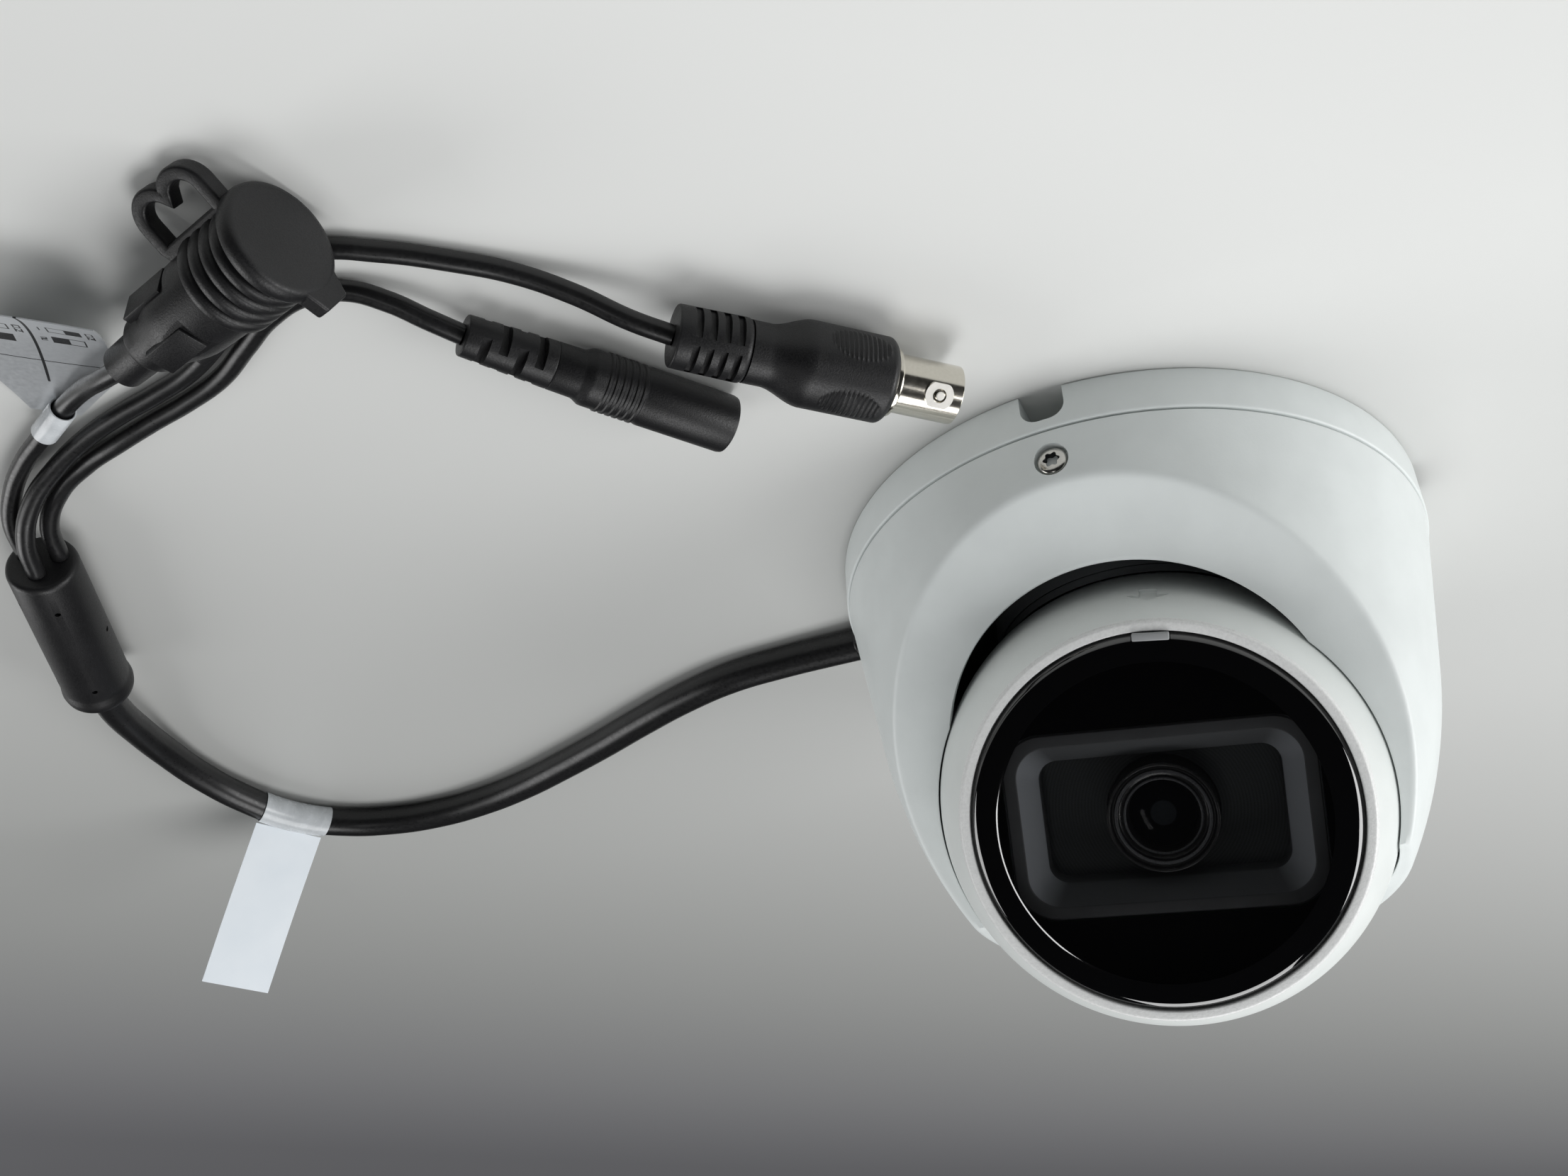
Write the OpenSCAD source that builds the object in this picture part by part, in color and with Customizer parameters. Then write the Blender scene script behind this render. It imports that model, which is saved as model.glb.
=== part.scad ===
// Turret (eyeball) CCTV camera with a cord set, standing base down.
// Origin at the middle of the base's underside, +Z up, the low front of the cover towards -Y.

/* [Base] */
// Outside diameter of the base
base_d = 109.9; // [106:0.1:116]
// Height of the base's outer rim
rim_h = 8.4; // [7.6:0.1:9.4]
// Wall of the base's outer rim
rim_t = 2.6; // [2:0.1:3]
// Thickness of the base's floor
floor_t = 3; // [2.4:0.1:3.6]
// Width of the U notches in the rim
notch_w = 7.7; // [7.2:0.1:9]
// Height of the U notches
notch_h = 6.5; // [6.3:0.1:7]
// Corner radius of the U notches
notch_r = 2.2; // [1:0.1:3]
// Circle of the wall screws
mount_pcd = 72; // [66:0.5:76]
// Hole for a wall screw
mount_hole_d = 4.5; // [4:0.1:5.5]
// Cable hole in the middle of the floor
cable_hole_d = 18; // [14:0.5:24]
// Height of the ring that the cover locks on
lock_ring_h = 18; // [17:0.1:20]
// Wall of the ring that the cover locks on
lock_ring_t = 2.6; // [2:0.1:3.2]
// Height of the ledge that carries the ball seat
ledge_h = 9.2; // [8.8:0.1:10]

/* [Cover] */
// Wall of the cover
cover_t = 2.4; // [1.8:0.1:2.8]
// Step from the base's rim in to the cover at the seam
seam_step = 0.35; // [0:0.05:0.8]
// Taper of the lower wall, inwards per mm of height
cover_draft = 0.166; // [0.12:0.002:0.18]
// Height where the lower wall turns into the dome
shoulder_z = 38; // [34:0.5:42]
// Radius of the dome's curve
dome_r = 90; // [84:0.5:110]
// Height of the cover's flat top
cover_top_z = 70.5; // [68:0.5:73]
// Tilt of the sloping front face
face_tilt = 44.7; // [43:0.1:46]
// Radius of the front face's hollow curve
face_r = 350; // [300:5:600]
// Height of the front wall under the sloping face
front_wall_z = 18.4; // [17.8:0.1:19.2]
// Distance of the face's middle behind the front wall
face_run = 26.5; // [25.5:0.1:27.5]
// Height of the face's middle over the front wall's edge
face_rise = 23.6; // [22.8:0.1:24.6]
// Diameter of the lock screw's head
lock_head_d = 5.3; // [4.5:0.1:6]
// Height of the lock screw's head
lock_head_h = 1.2; // [0.9:0.1:1.4]
// Shank of the lock screw
lock_shank_d = 3; // [2.5:0.1:3.5]
// Height of the lock screw
lock_z = 14; // [13:0.1:15]

/* [Ball] */
// Radius of the ball's front shell
ball_r = 39.3; // [38.5:0.1:39.6]
// Distance of the ball's centre in front of the axis
ball_y = 3; // [2:0.1:4]
// Height of the ball's centre
ball_z = 53.5; // [53:0.1:54.5]
// Tilt of the optical axis from upright
ball_tilt = 52.3; // [40:0.1:60]
// Turn of the ball from the cover's middle
ball_pan = -6.5; // [-10:0.5:10]
// Roll of the ball about its optical axis
ball_roll = -5; // [-15:0.5:15]
// Gap between the ball and the cover's opening
lip_gap = 0.8; // [0.6:0.05:1.1]
// Radius of the relief in the opening's front edge
relief_r = 33.2; // [32:0.1:34]
// Distance of the relief's middle down the face from the ball's centre
relief_run = 11.6; // [10:0.1:12.5]
// Wall of the ball's shells
shell_t = 2.2; // [1.8:0.1:2.6]
// Step from the front shell in to the rear shell
shell_step = 0.4; // [0.2:0.05:0.8]
// Height of the bezel's front over the ball's centre
bezel_z = 21.4; // [20.6:0.1:21.8]
// Width of the bezel's rim round the window
bezel_w = 1.5; // [1.2:0.1:1.8]

/* [Window and lens] */
// Radius of the window
window_r = 31.5; // [30.5:0.1:31.8]
// Thickness of the window
window_t = 3.2; // [2.5:0.1:3.4]
// Rounding of the window's front edge
window_edge_r = 1.4; // [0.8:0.1:1.6]
// Length of the light shield
shield_l = 51.5; // [47:0.5:52]
// Width of the light shield
shield_w = 32; // [29:0.5:32.5]
// Wall of the light shield at its front
shield_t = 2.6; // [2:0.1:3.5]
// Corner radius of the light shield
shield_r = 7; // [5:0.5:9]
// Diameter of the lens's front ring
lens_d = 18.4; // [16:0.1:19]
// Diameter of the lens's front glass
lens_glass_d = 11.4; // [9:0.1:12]
// Diameter of the lens's thread
lens_thread_d = 12; // [11:0.1:13]

/* [Cord set] */
// Diameter of the main cable
cable_d = 6.6; // [6:0.1:6.8]
// Diameter of the three tails
tail_d = 3.4; // [3:0.1:3.6]
// Diameter of the moulded junction
junction_d = 14; // [12:0.1:14.4]
// Length of the moulded junction
junction_l = 45; // [40:0.5:48]
// Diameter of the switch pod's cap
pod_cap_d = 18.8; // [17.8:0.1:19.4]
// Diameter of the switch pod's ribs
pod_rib_d = 16.6; // [16:0.1:17.4]
// Travel of the switch pod's two sliders
slider_travel = 1.2; // [0.8:0.1:1.4]
// Diameter of the power jack's body
dc_d = 10; // [9.5:0.1:10.3]
// Diameter of the power jack's socket
dc_socket_d = 5.7; // [5:0.1:6.2]
// Diameter of the power jack's centre pin
dc_pin_d = 2.1; // [1.8:0.1:2.5]
// Diameter of the video jack's grip
bnc_grip_d = 14.6; // [13.5:0.1:15.3]
// Diameter of the video jack's barrel
bnc_barrel_d = 9.65; // [9.3:0.05:10]
// Length of the cable tag's flag
tag_l = 40; // [30:1:48]
// Width of the cable tag
tag_w = 16; // [12:0.5:20]

/* [Hidden] */

$fn = 64;
// Gap between pieces that turn past each other
run_gap = 0.35;
// Gap between fixed pieces that fit into each other
fit_gap = 0.15;
// Radial clearance of a shaft that turns in its hole
turn_gap = 0.05;
// Thickness of a label
label_t = 0.3;
// Angle at which the white flag stands up
tag_rise = 53;
// How far a cable's end is moulded into its piece
mould_in = 1;
// Overlap of a cutting tool past the face that it cuts
past = 1;
// Faint step in the cover's wall at the shoulder
shoulder_step = 0.03;

// Places that follow from the sizes above
base_r = base_d / 2;
seam_z = rim_h + run_gap;
seam_r = base_r - seam_step;
shoulder_r = seam_r - cover_draft * (shoulder_z - seam_z);
draft_angle = atan(cover_draft);
dome_c = [shoulder_r - dome_r * cos(draft_angle), shoulder_z - dome_r * sin(draft_angle)];
lock_wall_r = seam_r - cover_draft * (lock_z - seam_z);
face_mid = [face_run - seam_r + cover_draft * (front_wall_z - seam_z), front_wall_z + face_rise];
lock_r = seam_r - cover_draft * (lock_ring_h - seam_z) - cover_t - run_gap;
ledge_r = lock_r - lock_ring_t - 3;
ball_c = [0, -ball_y, ball_z];
rear_r = ball_r - shell_step;
seat_flange_z = ledge_h + run_gap;
seat_flange_t = 2.6;
seat_flange_r = lock_r - lock_ring_t - run_gap;
seat_wall_r = [20.4, 25.8];
seat_slot_w = 14;
friction_t = 1.2;
post_r = 3.5;
post_place_r = seat_flange_r - post_r - 1;
post_angles = [30, 150, 270];
post_top_z = 30;
post_hole_d = 3;
cover_screw_l = 10;
mount_angles = [100, 220, 340];
channel_l = 14.7;
channel_w = 14;
// The cable leaves at the middle of the +X notch
// The cable's own notch is a little larger than the two plain ones
cable_notch_w = cable_d + 1.8;
cable_notch_h = cable_d + 1;
cable_exit = [base_r + 0.9, 0, cable_notch_h / 2 + 0.15];
// Ball pieces, from the ball's centre along the optical axis
shell_edge_z = -2.3;
window_z = bezel_z + 1 - window_t;
seal_t = 0.5;
bezel_r = window_r + fit_gap + bezel_w;
board_z = -3.9;
board_t = 1.6;
bracket_t = 2;
bracket_slot_w = 24;
standoff_l = 6;
shell_post_d = 5.6;
shell_post_r = ball_r - shell_t - shell_post_d - 0.5;
shell_screw_angles = [0, 120, 240];
bracket_screw_angles = [60, 180, 300];
sensor_board_w = 36;
main_board_r = 26;
chip_w = 12;
socket_w = 14;
socket_d = 5;
standoff_xy = 15;
board_screw_d = 2;
board_screw_head_d = 4;
screw_play = 0.6;
cover_screw_head_d = 5.4;
holder_w = 16;
holder_r = 11;
main_board_z = board_z - bracket_t - standoff_l - board_t;
// The lamp board hangs under the window's ledge
ledge_t = 2.4;
window_land = 3.2;
// The window's key is a little off the shield's middle
clip_turn = -3;
clip_w = 6.6;
ir_board_z = window_z - seal_t - ledge_t - board_t;
lens_plate_z = 9.3;
lens_plate_t = 1.5;
gland_pad_z = -(rear_r - 0.9);
// The relief cuts the face only, not what is under it
relief_from = 4;
gland_r = 4.5;
gland_l = 46.6;
gland_axis = [-sin(ball_tilt) * sin(ball_pan), sin(ball_tilt) * cos(ball_pan), -cos(ball_tilt)];
lead_d = 4.4;
// Connectors, from their cable end along their own axis
junction_p = [200.5, -62.6, junction_d / 2 + 0.4];
junction_dir = 238.9;
pod_p = [123.5, -136.2, pod_cap_d / 2 + 0.2];
pod_dir = 195;
pod_l = 38;
pod_bore_r = 6.4;
pod_ribs_z = 27.6;
pod_flat = 6.4;
strap_dip = 26;
pod_floor_z = 23;
dip_z = pod_floor_z + 6;
dc_p = [75.5, -115, dc_d / 2 + 0.3];
dc_dir = 125.2;
dc_relief_l = 15;
dc_l = 47;
dc_socket_l = 10;
bnc_p = [45, -102.4, bnc_grip_d / 2 + 0.5];
bnc_dir = 135.7;
bnc_relief_l = 12;
bnc_body_l = 36;
bnc_l = 47.5;
bnc_socket_l = 9;

// Routes of the cables, ring by ring
lead_route = [ball_c + (gland_l + run_gap) * gland_axis, ball_c + (gland_l + 4) * gland_axis, [5, 39.4, 19],
  [5.4, 40.2, 14.5], [6, 38.6, 9.6], [8.2, 34.6, 6.6], [13, 28, 5.6], [20, 19, 5.6], [26, 10.5, 5.5],
  [31.5, 4, 5], [37.5, 0.8, 4.1], [ledge_r - run_gap, 0, cable_exit[2]]];
main_route = [[ledge_r, 0, cable_exit[2]], cable_exit, [62, 0, 3.7], [74, 0, 3.4], [87, 0.5, 3.4],
  [100, 3.5, 3.4], [113, 8, 3.4], [126, 13, 3.4], [139, 17.5, 3.4], [152, 21.5, 3.4], [165, 24, 3.4],
  [178, 24.5, 3.4], [190, 22.5, 3.4], [201, 17, 3.7], [209, 8, 4.1], [213.5, -4, 3.7], [215, -17, 3.4],
  [213.5, -30, 3.7], [210, -42, 5], [205.5, -53, 6.6], junction_p];
video_route = [[177.5, -101.3, 9.8], [173, -108.5, 8.5], [166.5, -114, 6], [158, -117.5, 3.6],
  [149, -120, 2.2], [140, -121.7, 1.8], [131, -123, 1.8], [122, -124.8, 1.8], [113, -128.5, 1.8],
  [104.5, -133, 1.8], [96, -136.6, 1.8], [87, -137.2, 1.8], [78.5, -132.6, 1.8], [70.5, -126.5, 1.8],
  [63, -120.2, 2.2], [56, -113.6, 4], [49.8, -107.2, 6.6], bnc_p];
power_route = [[174.7, -99.7, 5.6], [170, -107, 4.8], [163, -111.8, 3.2], [154.5, -114.5, 2.2],
  [145.5, -116.4, 2.2], [136.5, -117.8, 1.8], [127.5, -119.2, 1.8], [118.5, -121.4, 1.8],
  [110, -125.4, 1.8], [102, -129, 1.8], [94.5, -130.2, 1.8], [88, -128.4, 2], [83, -124.3, 3],
  [79, -119.6, 4.4], dc_p];
switch_route = [[179.9, -102.7, 5.6], [176, -110, 4.5], [170, -115.8, 3.3], [162.8, -120.4, 2.7],
  [154.5, -124.2, 2.6], [146, -127.9, 2.6], [138, -131.2, 4.4], [130.6, -134, 7.4], pod_p];

// The foil flag is folded round the switch tail
foil_p = (switch_route[4] + switch_route[5]) / 2;
foil_dir = 230;
foil_w = 22;
foil_l = 36;
foil_curl = 60;
foil_sleeve_l = 8;

// Unit vector of v
function unit(v) = v / norm(v);
// Direction of a route at ring i
function heading(p, i) = unit(p[min(i + 1, len(p) - 1)] - p[max(i - 1, 0)]);
// Points of the ring round route point i
function ring_points(p, i, r, sides) = let (t = heading(p, i), s = unit(cross(t, [0, 0, 1])),
  u = cross(s, t))
  [for (k = [0 : sides - 1]) p[i] + r * (cos(360 * k / sides) * s + sin(360 * k / sides) * u)];

// Closed tube of n sides along a route's points
module cable(route, d, sides) {
  rings = len(route);
  walls = [for (i = [0 : rings - 2], k = [0 : sides - 1])
    let (a = i * sides + k, b = i * sides + (k + 1) % sides)
      each [[a, a + sides, b], [b, a + sides, b + sides]]];
  first = [for (k = [1 : sides - 2]) [0, k, k + 1]];
  last_start = (rings - 1) * sides;
  last = [for (k = [1 : sides - 2]) [last_start, last_start + k + 1, last_start + k]];
  polyhedron([for (i = [0 : rings - 1]) each ring_points(route, i, d / 2, sides)], concat(walls, first,
    last));
}

// Children stand with their +Z along a level direction
module along(p, dir) { translate(p) rotate([0, 90, dir]) children(); }

// Children are in the ball's own frame, +Z along the optical axis
module in_ball() {
  translate(ball_c) rotate([0, 0, ball_pan]) rotate([ball_tilt, 0, 0]) rotate([0, 0, ball_roll]) children();
}

// The same frame without the ball's roll
module in_gimbal() { translate(ball_c) rotate([0, 0, ball_pan]) rotate([ball_tilt, 0, 0]) children(); }

module tube(r_out, r_in, z0, z1) {
  translate([0, 0, z0]) difference() {
    cylinder(r = r_out, h = z1 - z0);
    translate([0, 0, -past]) cylinder(r = r_in, h = z1 - z0 + 2 * past);
  }
}

// Rounded rectangle
module plate2d(l, w, r) {
  square([l - 2 * r, w], center = true);
  square([l, w - 2 * r], center = true);
  for (x = [-1, 1], y = [-1, 1]) translate([x * (l / 2 - r), y * (w / 2 - r)]) circle(r);
}

// U notch standing on the table, its flat side down
module notch2d(w, h, r) {
  translate([-w / 2, -past]) square([w, h - r + past]);
  translate([-w / 2 + r, 0]) square([w - 2 * r, h]);
  for (x = [-1, 1]) translate([x * (w / 2 - r), h - r]) circle(r);
}

// U notch cut from radius r0 outwards, on the +X side
module notch(w, h, r0, r1) {
  translate([r0, 0, 0]) rotate([90, 0, 90]) linear_extrude(r1 - r0) notch2d(w, h, notch_r);
}

module base_plate() {
  color("white") difference() {
    union() {
      cylinder(d = base_d, h = floor_t);
      tube(base_r, base_r - rim_t, 0, rim_h);
      tube(lock_r, ledge_r, 0, ledge_h);
      tube(lock_r, lock_r - lock_ring_t, 0, lock_ring_h);
    }
    translate([0, 0, -past]) cylinder(d = cable_hole_d, h = floor_t + 2 * past);
    for (a = mount_angles) rotate(a) translate([mount_pcd / 2, 0, -past])
      cylinder(d = mount_hole_d, h = floor_t + 2 * past);
    for (a = [180, 270]) rotate(a) notch(notch_w, notch_h, base_r - rim_t, base_r + past);
    notch(cable_notch_w, cable_notch_h, ledge_r - past, base_r + past);
    // Channel in the floor that the cable dips into
    translate([ledge_r - channel_l, -4, -past]) cube([channel_l, channel_w, floor_t + 2 * past]);
    // Groove that the lock screw bears in
    tube(lock_r + past, lock_r - 0.8, lock_z - lock_shank_d / 2 - run_gap,
      lock_z + lock_shank_d / 2 + run_gap);
  }
}

// Rubber bush that fills the +X notch round the cable
module cable_grommet() {
  color("dimgray") difference() {
    intersection() {
      notch(cable_notch_w - 2 * fit_gap, cable_notch_h - fit_gap, ledge_r - 0.2,
        cable_exit[0] + mould_in);
      translate([0, -base_r, 0.3]) cube([base_d, base_d, cable_notch_h]);
    }
    translate([0, 0, cable_exit[2]]) rotate([0, 90, 0]) cylinder(d = cable_d + 2 * turn_gap, h = base_d);
  }
}

// Half section of the dome, drawn in by t
module dome2d(t) {
  in = t / cos(draft_angle);
  low = t > 0 ? past : 0;
  polygon([[0, seam_z - low], [seam_r - in + cover_draft * low, seam_z - low],
    [shoulder_r - in - shoulder_step, shoulder_z], [0, shoulder_z]]);
  intersection() {
    translate(dome_c) circle(r = dome_r - t, $fn = 128);
    translate([0, shoulder_z]) square([base_d, cover_top_z - t - shoulder_z]);
  }
}

// Everything in front of the sloping face, drawn back by t
module face_front(t) {
  mid = face_mid + face_r * [-sin(face_tilt), cos(face_tilt)];
  translate([0, mid[0], mid[1]]) rotate([0, 90, 0])
    cylinder(r = face_r + t, h = 2 * base_d, center = true, $fn = 128);
}

// Posts under the cover, which its three screws come up into
module cover_posts() {
  intersection() {
    rotate_extrude() dome2d(cover_t / 2);
    for (a = post_angles) rotate(a) {
      translate([post_place_r, 0, seat_flange_z + seat_flange_t])
        cylinder(r = post_r, h = post_top_z - seat_flange_z);
      translate([post_place_r, -2, lock_ring_h + run_gap])
        cube([base_r - post_place_r, 4, post_top_z - lock_ring_h]);
    }
  }
}

module cover() {
  color("white") difference() {
    union() {
      difference() {
        rotate_extrude() dome2d(0);
        difference() {
          rotate_extrude() dome2d(cover_t);
          face_front(cover_t);
        }
      }
      cover_posts();
    }
    face_front(0);
    translate(ball_c) sphere(r = ball_r + lip_gap);
    // Relief in front of the ball, where its rim swings past
    translate(ball_c) rotate([face_tilt, 0, 0]) translate([0, -relief_run, relief_from])
      cylinder(r = relief_r, h = ball_r);
    // Room for the friction ring round the ball
    intersection() {
      translate([0, -ball_y, 0]) cylinder(r = seat_wall_r[1], h = ball_z - 16 + run_gap);
      translate(ball_c) sphere(r = ball_r + friction_t + 2 * run_gap);
    }
    // Room for the base's ring under the front edge
    tube(lock_r + run_gap, lock_r - lock_ring_t - run_gap, 0, lock_ring_h + run_gap);
    translate([0, -lock_wall_r + cover_t + past, lock_z]) rotate([90, 0, 0])
      cylinder(d = lock_shank_d + 2 * fit_gap, h = cover_t + 2 * past);
    translate([0, -lock_wall_r + lock_head_h + 0.2, lock_z]) rotate([90, 0, 0])
      cylinder(d = lock_head_d + 4 * fit_gap, h = cover_t + past);
    for (a = post_angles) rotate(a) translate([post_place_r, 0, seat_flange_z])
      cylinder(d = post_hole_d + 2 * fit_gap, h = cover_screw_l + past);
  }
}

// Screw at the low front that bears on the base's ring
module lock_screw() {
  color("silver") translate([0, -lock_wall_r + lock_head_h + 0.2, lock_z]) rotate([90, 0, 0]) {
    difference() {
      cylinder(d = lock_head_d, h = lock_head_h);
      translate([0, 0, lock_head_h - 0.8]) for (k = [0 : 2]) rotate(60 * k)
        cube([2.6, 0.9, 2], center = true);
    }
    shank_l = lock_wall_r - lock_head_h - 0.2 - lock_r + 0.8 - run_gap;
    translate([0, 0, -shank_l]) cylinder(d = lock_shank_d, h = shank_l);
  }
}

// Three countersunk screws up through the ball seat into the cover's posts
module cover_screws() {
  color("silver") for (a = post_angles) rotate(a) translate([post_place_r, 0, seat_flange_z]) {
    cylinder(d1 = cover_screw_head_d, d2 = post_hole_d, h = 1.4);
    cylinder(d = post_hole_d, h = cover_screw_l);
  }
}

// Slot behind the ball that the cable gland swings in
module seat_slot() {
  translate(ball_c) rotate(ball_pan) translate([-seat_slot_w / 2, 0, -ball_z])
    cube([seat_slot_w, base_r, ball_z]);
}

// Turning ring that carries the ball and the cover
module ball_seat() {
  color("dimgray") difference() {
    union() {
      translate([0, 0, seat_flange_z]) cylinder(r = seat_flange_r, h = seat_flange_t);
      translate([0, -ball_y, seat_flange_z]) cylinder(r = seat_wall_r[1], h = ball_z - seat_flange_z - 15);
    }
    translate([0, -ball_y, 0]) cylinder(r = seat_wall_r[0], h = ball_z);
    translate(ball_c) sphere(r = ball_r + run_gap + friction_t + fit_gap);
    seat_slot();
    for (a = post_angles) rotate(a) translate([post_place_r, 0, seat_flange_z]) {
      translate([0, 0, -past]) cylinder(d = post_hole_d + 2 * fit_gap, h = seat_flange_t + 2 * past);
      translate([0, 0, -0.01])
        cylinder(d1 = cover_screw_head_d + 2 * fit_gap, d2 = post_hole_d + 2 * fit_gap, h = 1.4);
    }
  }
}

// Silicone lining of the seat that holds the ball where it is set
module friction_ring() {
  color("black") difference() {
    intersection() {
      translate([0, -ball_y, 0]) tube(seat_wall_r[1] - 0.4, seat_wall_r[0] + 0.2, seat_flange_z,
        ball_z - 16);
      translate(ball_c) sphere(r = ball_r + run_gap + friction_t);
    }
    translate(ball_c) sphere(r = ball_r + run_gap);
    seat_slot();
  }
}

// Gland behind the ball: nut inside, flange and tapered boot outside
module cable_gland() {
  color("black") in_gimbal() difference() {
    union() {
      translate([0, 0, gland_pad_z - run_gap - 2]) cylinder(r = 6.6, h = 2);
      translate([0, 0, gland_pad_z - run_gap - 2]) cylinder(r = gland_r, h = shell_t + 6);
      translate([0, 0, gland_pad_z + shell_t + run_gap]) cylinder(r = 6.4, h = 2);
      translate([0, 0, -gland_l]) cylinder(r1 = lead_d / 2 + 1, r2 = 5,
        h = gland_l + gland_pad_z - run_gap - 1.5);
    }
    translate([0, 0, -gland_l - past]) cylinder(d = lead_d + 2 * turn_gap, h = gland_l);
  }
}

// Flexible stretch of the cable inside the cover
module inner_lead() { color("black") cable(lead_route, lead_d, 10); }

// Front shell with the bezel round the window
module front_shell() {
  color("white") in_ball() difference() {
    union() {
      difference() {
        sphere(r = ball_r);
        sphere(r = ball_r - shell_t);
        translate([0, 0, shell_edge_z - 2 * ball_r]) cylinder(r = 2 * ball_r, h = 2 * ball_r);
        translate([0, 0, bezel_z]) cylinder(r = 2 * ball_r, h = 2 * ball_r);
      }
      translate([0, 0, window_z - seal_t - ledge_t])
        cylinder(r = bezel_r, h = bezel_z - window_z + seal_t + ledge_t);
      intersection() {
        sphere(r = ball_r - shell_t / 2);
        for (a = shell_screw_angles) rotate(a) translate([shell_post_r, 0, 0.4])
          cylinder(d = shell_post_d, h = window_z - 2);
      }
      for (a = bracket_screw_angles) rotate(a) translate([shell_post_r, 0, board_z])
        cylinder(d = shell_post_d, h = window_z - seal_t - board_z - 1);
    }
    translate([0, 0, window_z - seal_t]) cylinder(r = window_r + fit_gap, h = ball_r);
    translate([0, 0, -past]) cylinder(r = window_r - window_land, h = ball_r);
    for (a = shell_screw_angles) rotate(a) translate([shell_post_r, 0, -past]) cylinder(d = 2.6, h = 12);
    for (a = bracket_screw_angles) rotate(a) translate([shell_post_r, 0, board_z - past])
      cylinder(d = 2.2, h = 8);
  }
}

// Rear shell, set in behind the front shell's edge
module rear_shell() {
  color("dimgray") in_ball() difference() {
    union() {
      difference() {
        sphere(r = rear_r);
        translate([0, 0, shell_edge_z - fit_gap]) cylinder(r = 2 * ball_r, h = 2 * ball_r);
      }
      tube(ball_r - shell_t - fit_gap - 0.1, ball_r - 2 * shell_t - 0.6, shell_edge_z - past, 2.4);
    }
    difference() {
      sphere(r = rear_r - shell_t);
      for (a = shell_screw_angles) rotate(a) translate([shell_post_r, 0, -ball_r])
        cylinder(d = shell_post_d + 3, h = ball_r);
      translate([0, 0, gland_pad_z - past]) cylinder(r = 9, h = shell_t + past);
    }
    translate([0, 0, -past]) cylinder(r = ball_r - 2 * shell_t - 0.6, h = 2 * past + 3);
    translate([0, 0, gland_pad_z - ball_r]) cylinder(r = 9, h = ball_r);
    translate([0, 0, -2 * ball_r]) cylinder(r = gland_r + turn_gap, h = 2 * ball_r);
    for (a = shell_screw_angles) rotate(a) translate([shell_post_r, 0, 0]) {
      translate([0, 0, -ball_r]) cylinder(d = 3.2, h = 2 * ball_r);
      translate([0, 0, -ball_r]) cylinder(d = shell_post_d + 0.6, h = ball_r - 8);
    }
    for (a = bracket_screw_angles) rotate(a) translate([shell_post_r, 0, -12])
      cylinder(d = shell_post_d + 4 * fit_gap, h = ball_r);
  }
}

// Three screws from behind through the rear shell into the front shell
module shell_screws() {
  color("silver") in_ball() for (a = shell_screw_angles) rotate(a) translate([shell_post_r, 0, -8]) {
    translate([0, 0, -2]) cylinder(d = 5, h = 2);
    cylinder(d = 2.5, h = 16);
  }
}

// Half section of the window, its front edge rounded
module window2d() {
  square([window_r - window_edge_r, window_t]);
  square([window_r, window_t - window_edge_r]);
  translate([window_r - window_edge_r, window_t - window_edge_r]) circle(window_edge_r);
}

module window() {
  color("black") in_ball() difference() {
    translate([0, 0, window_z]) rotate_extrude($fn = 128) window2d();
    rotate(clip_turn) translate([0, -window_r, window_z + window_t])
      cube([clip_w + 0.4, 5, 4], center = true);
  }
}

module window_seal() {
  color("black") in_ball() tube(window_r - 0.2, window_r - 3, window_z - seal_t, window_z);
}

// Tab of the bezel that keys the window
module bezel_clip() {
  color("gainsboro") in_ball() rotate(clip_turn) intersection() {
    translate([-clip_w / 2, 0.15 - window_r, window_z + window_t - 1.15]) cube([clip_w, 2.2, 1.1]);
    cylinder(r = window_r, h = ball_r);
  }
}

// Rubber frame between the window and the lens plate, its inside wall bevelled
module light_shield() {
  z0 = lens_plate_z + lens_plate_t;
  color("black") in_ball() difference() {
    translate([0, 0, z0]) linear_extrude(window_z - z0 - 0.1) plate2d(shield_l, shield_w, shield_r);
    hull() {
      translate([0, 0, z0 - past]) linear_extrude(past)
        plate2d(shield_l - 4 * shield_t, shield_w - 4 * shield_t, shield_r - shield_t, $fn = 32);
      translate([0, 0, window_z]) linear_extrude(past)
        plate2d(shield_l - 2 * shield_t, shield_w - 2 * shield_t, shield_r - shield_t / 2, $fn = 32);
    }
  }
}

module lens_plate() {
  color("black") in_ball() translate([0, 0, lens_plate_z]) difference() {
    linear_extrude(lens_plate_t) plate2d(shield_l, shield_w, shield_r);
    translate([0, 0, -past]) cylinder(d = lens_d + 4 * fit_gap, h = lens_plate_t + 2 * past);
  }
}

// Half section of the lens: thread, front ring and stepped hood
module lens2d() {
  back = 1.5;
  front = window_z - 1.5;
  step = (lens_d - lens_glass_d) / 8;
  difference() {
    union() {
      translate([0, back]) square([lens_thread_d / 2, front - back - 1]);
      translate([0, lens_plate_z + 0.2]) square([lens_d / 2, front - lens_plate_z - 0.2]);
    }
    for (k = [0 : 3]) translate([0, front - 1.1 * (k + 1)])
      square([lens_glass_d / 2 + step * (3.2 - k), past + 1.2 * (k + 1)]);
  }
}

module lens_barrel() { color("black") in_ball() rotate_extrude() lens2d(); }

// Domed front glass, seated on the hood's lowest step
module lens_glass() {
  r = 1.6 * lens_glass_d;
  seat_z = window_z - 1.5 - 4.4;
  color("darkslateblue") in_ball() intersection() {
    translate([0, 0, seat_z]) cylinder(r = lens_glass_d / 2 - 0.2, h = 3);
    translate([0, 0, seat_z + 1.2 - r]) sphere(r = r, $fn = 256);
  }
}

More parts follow.
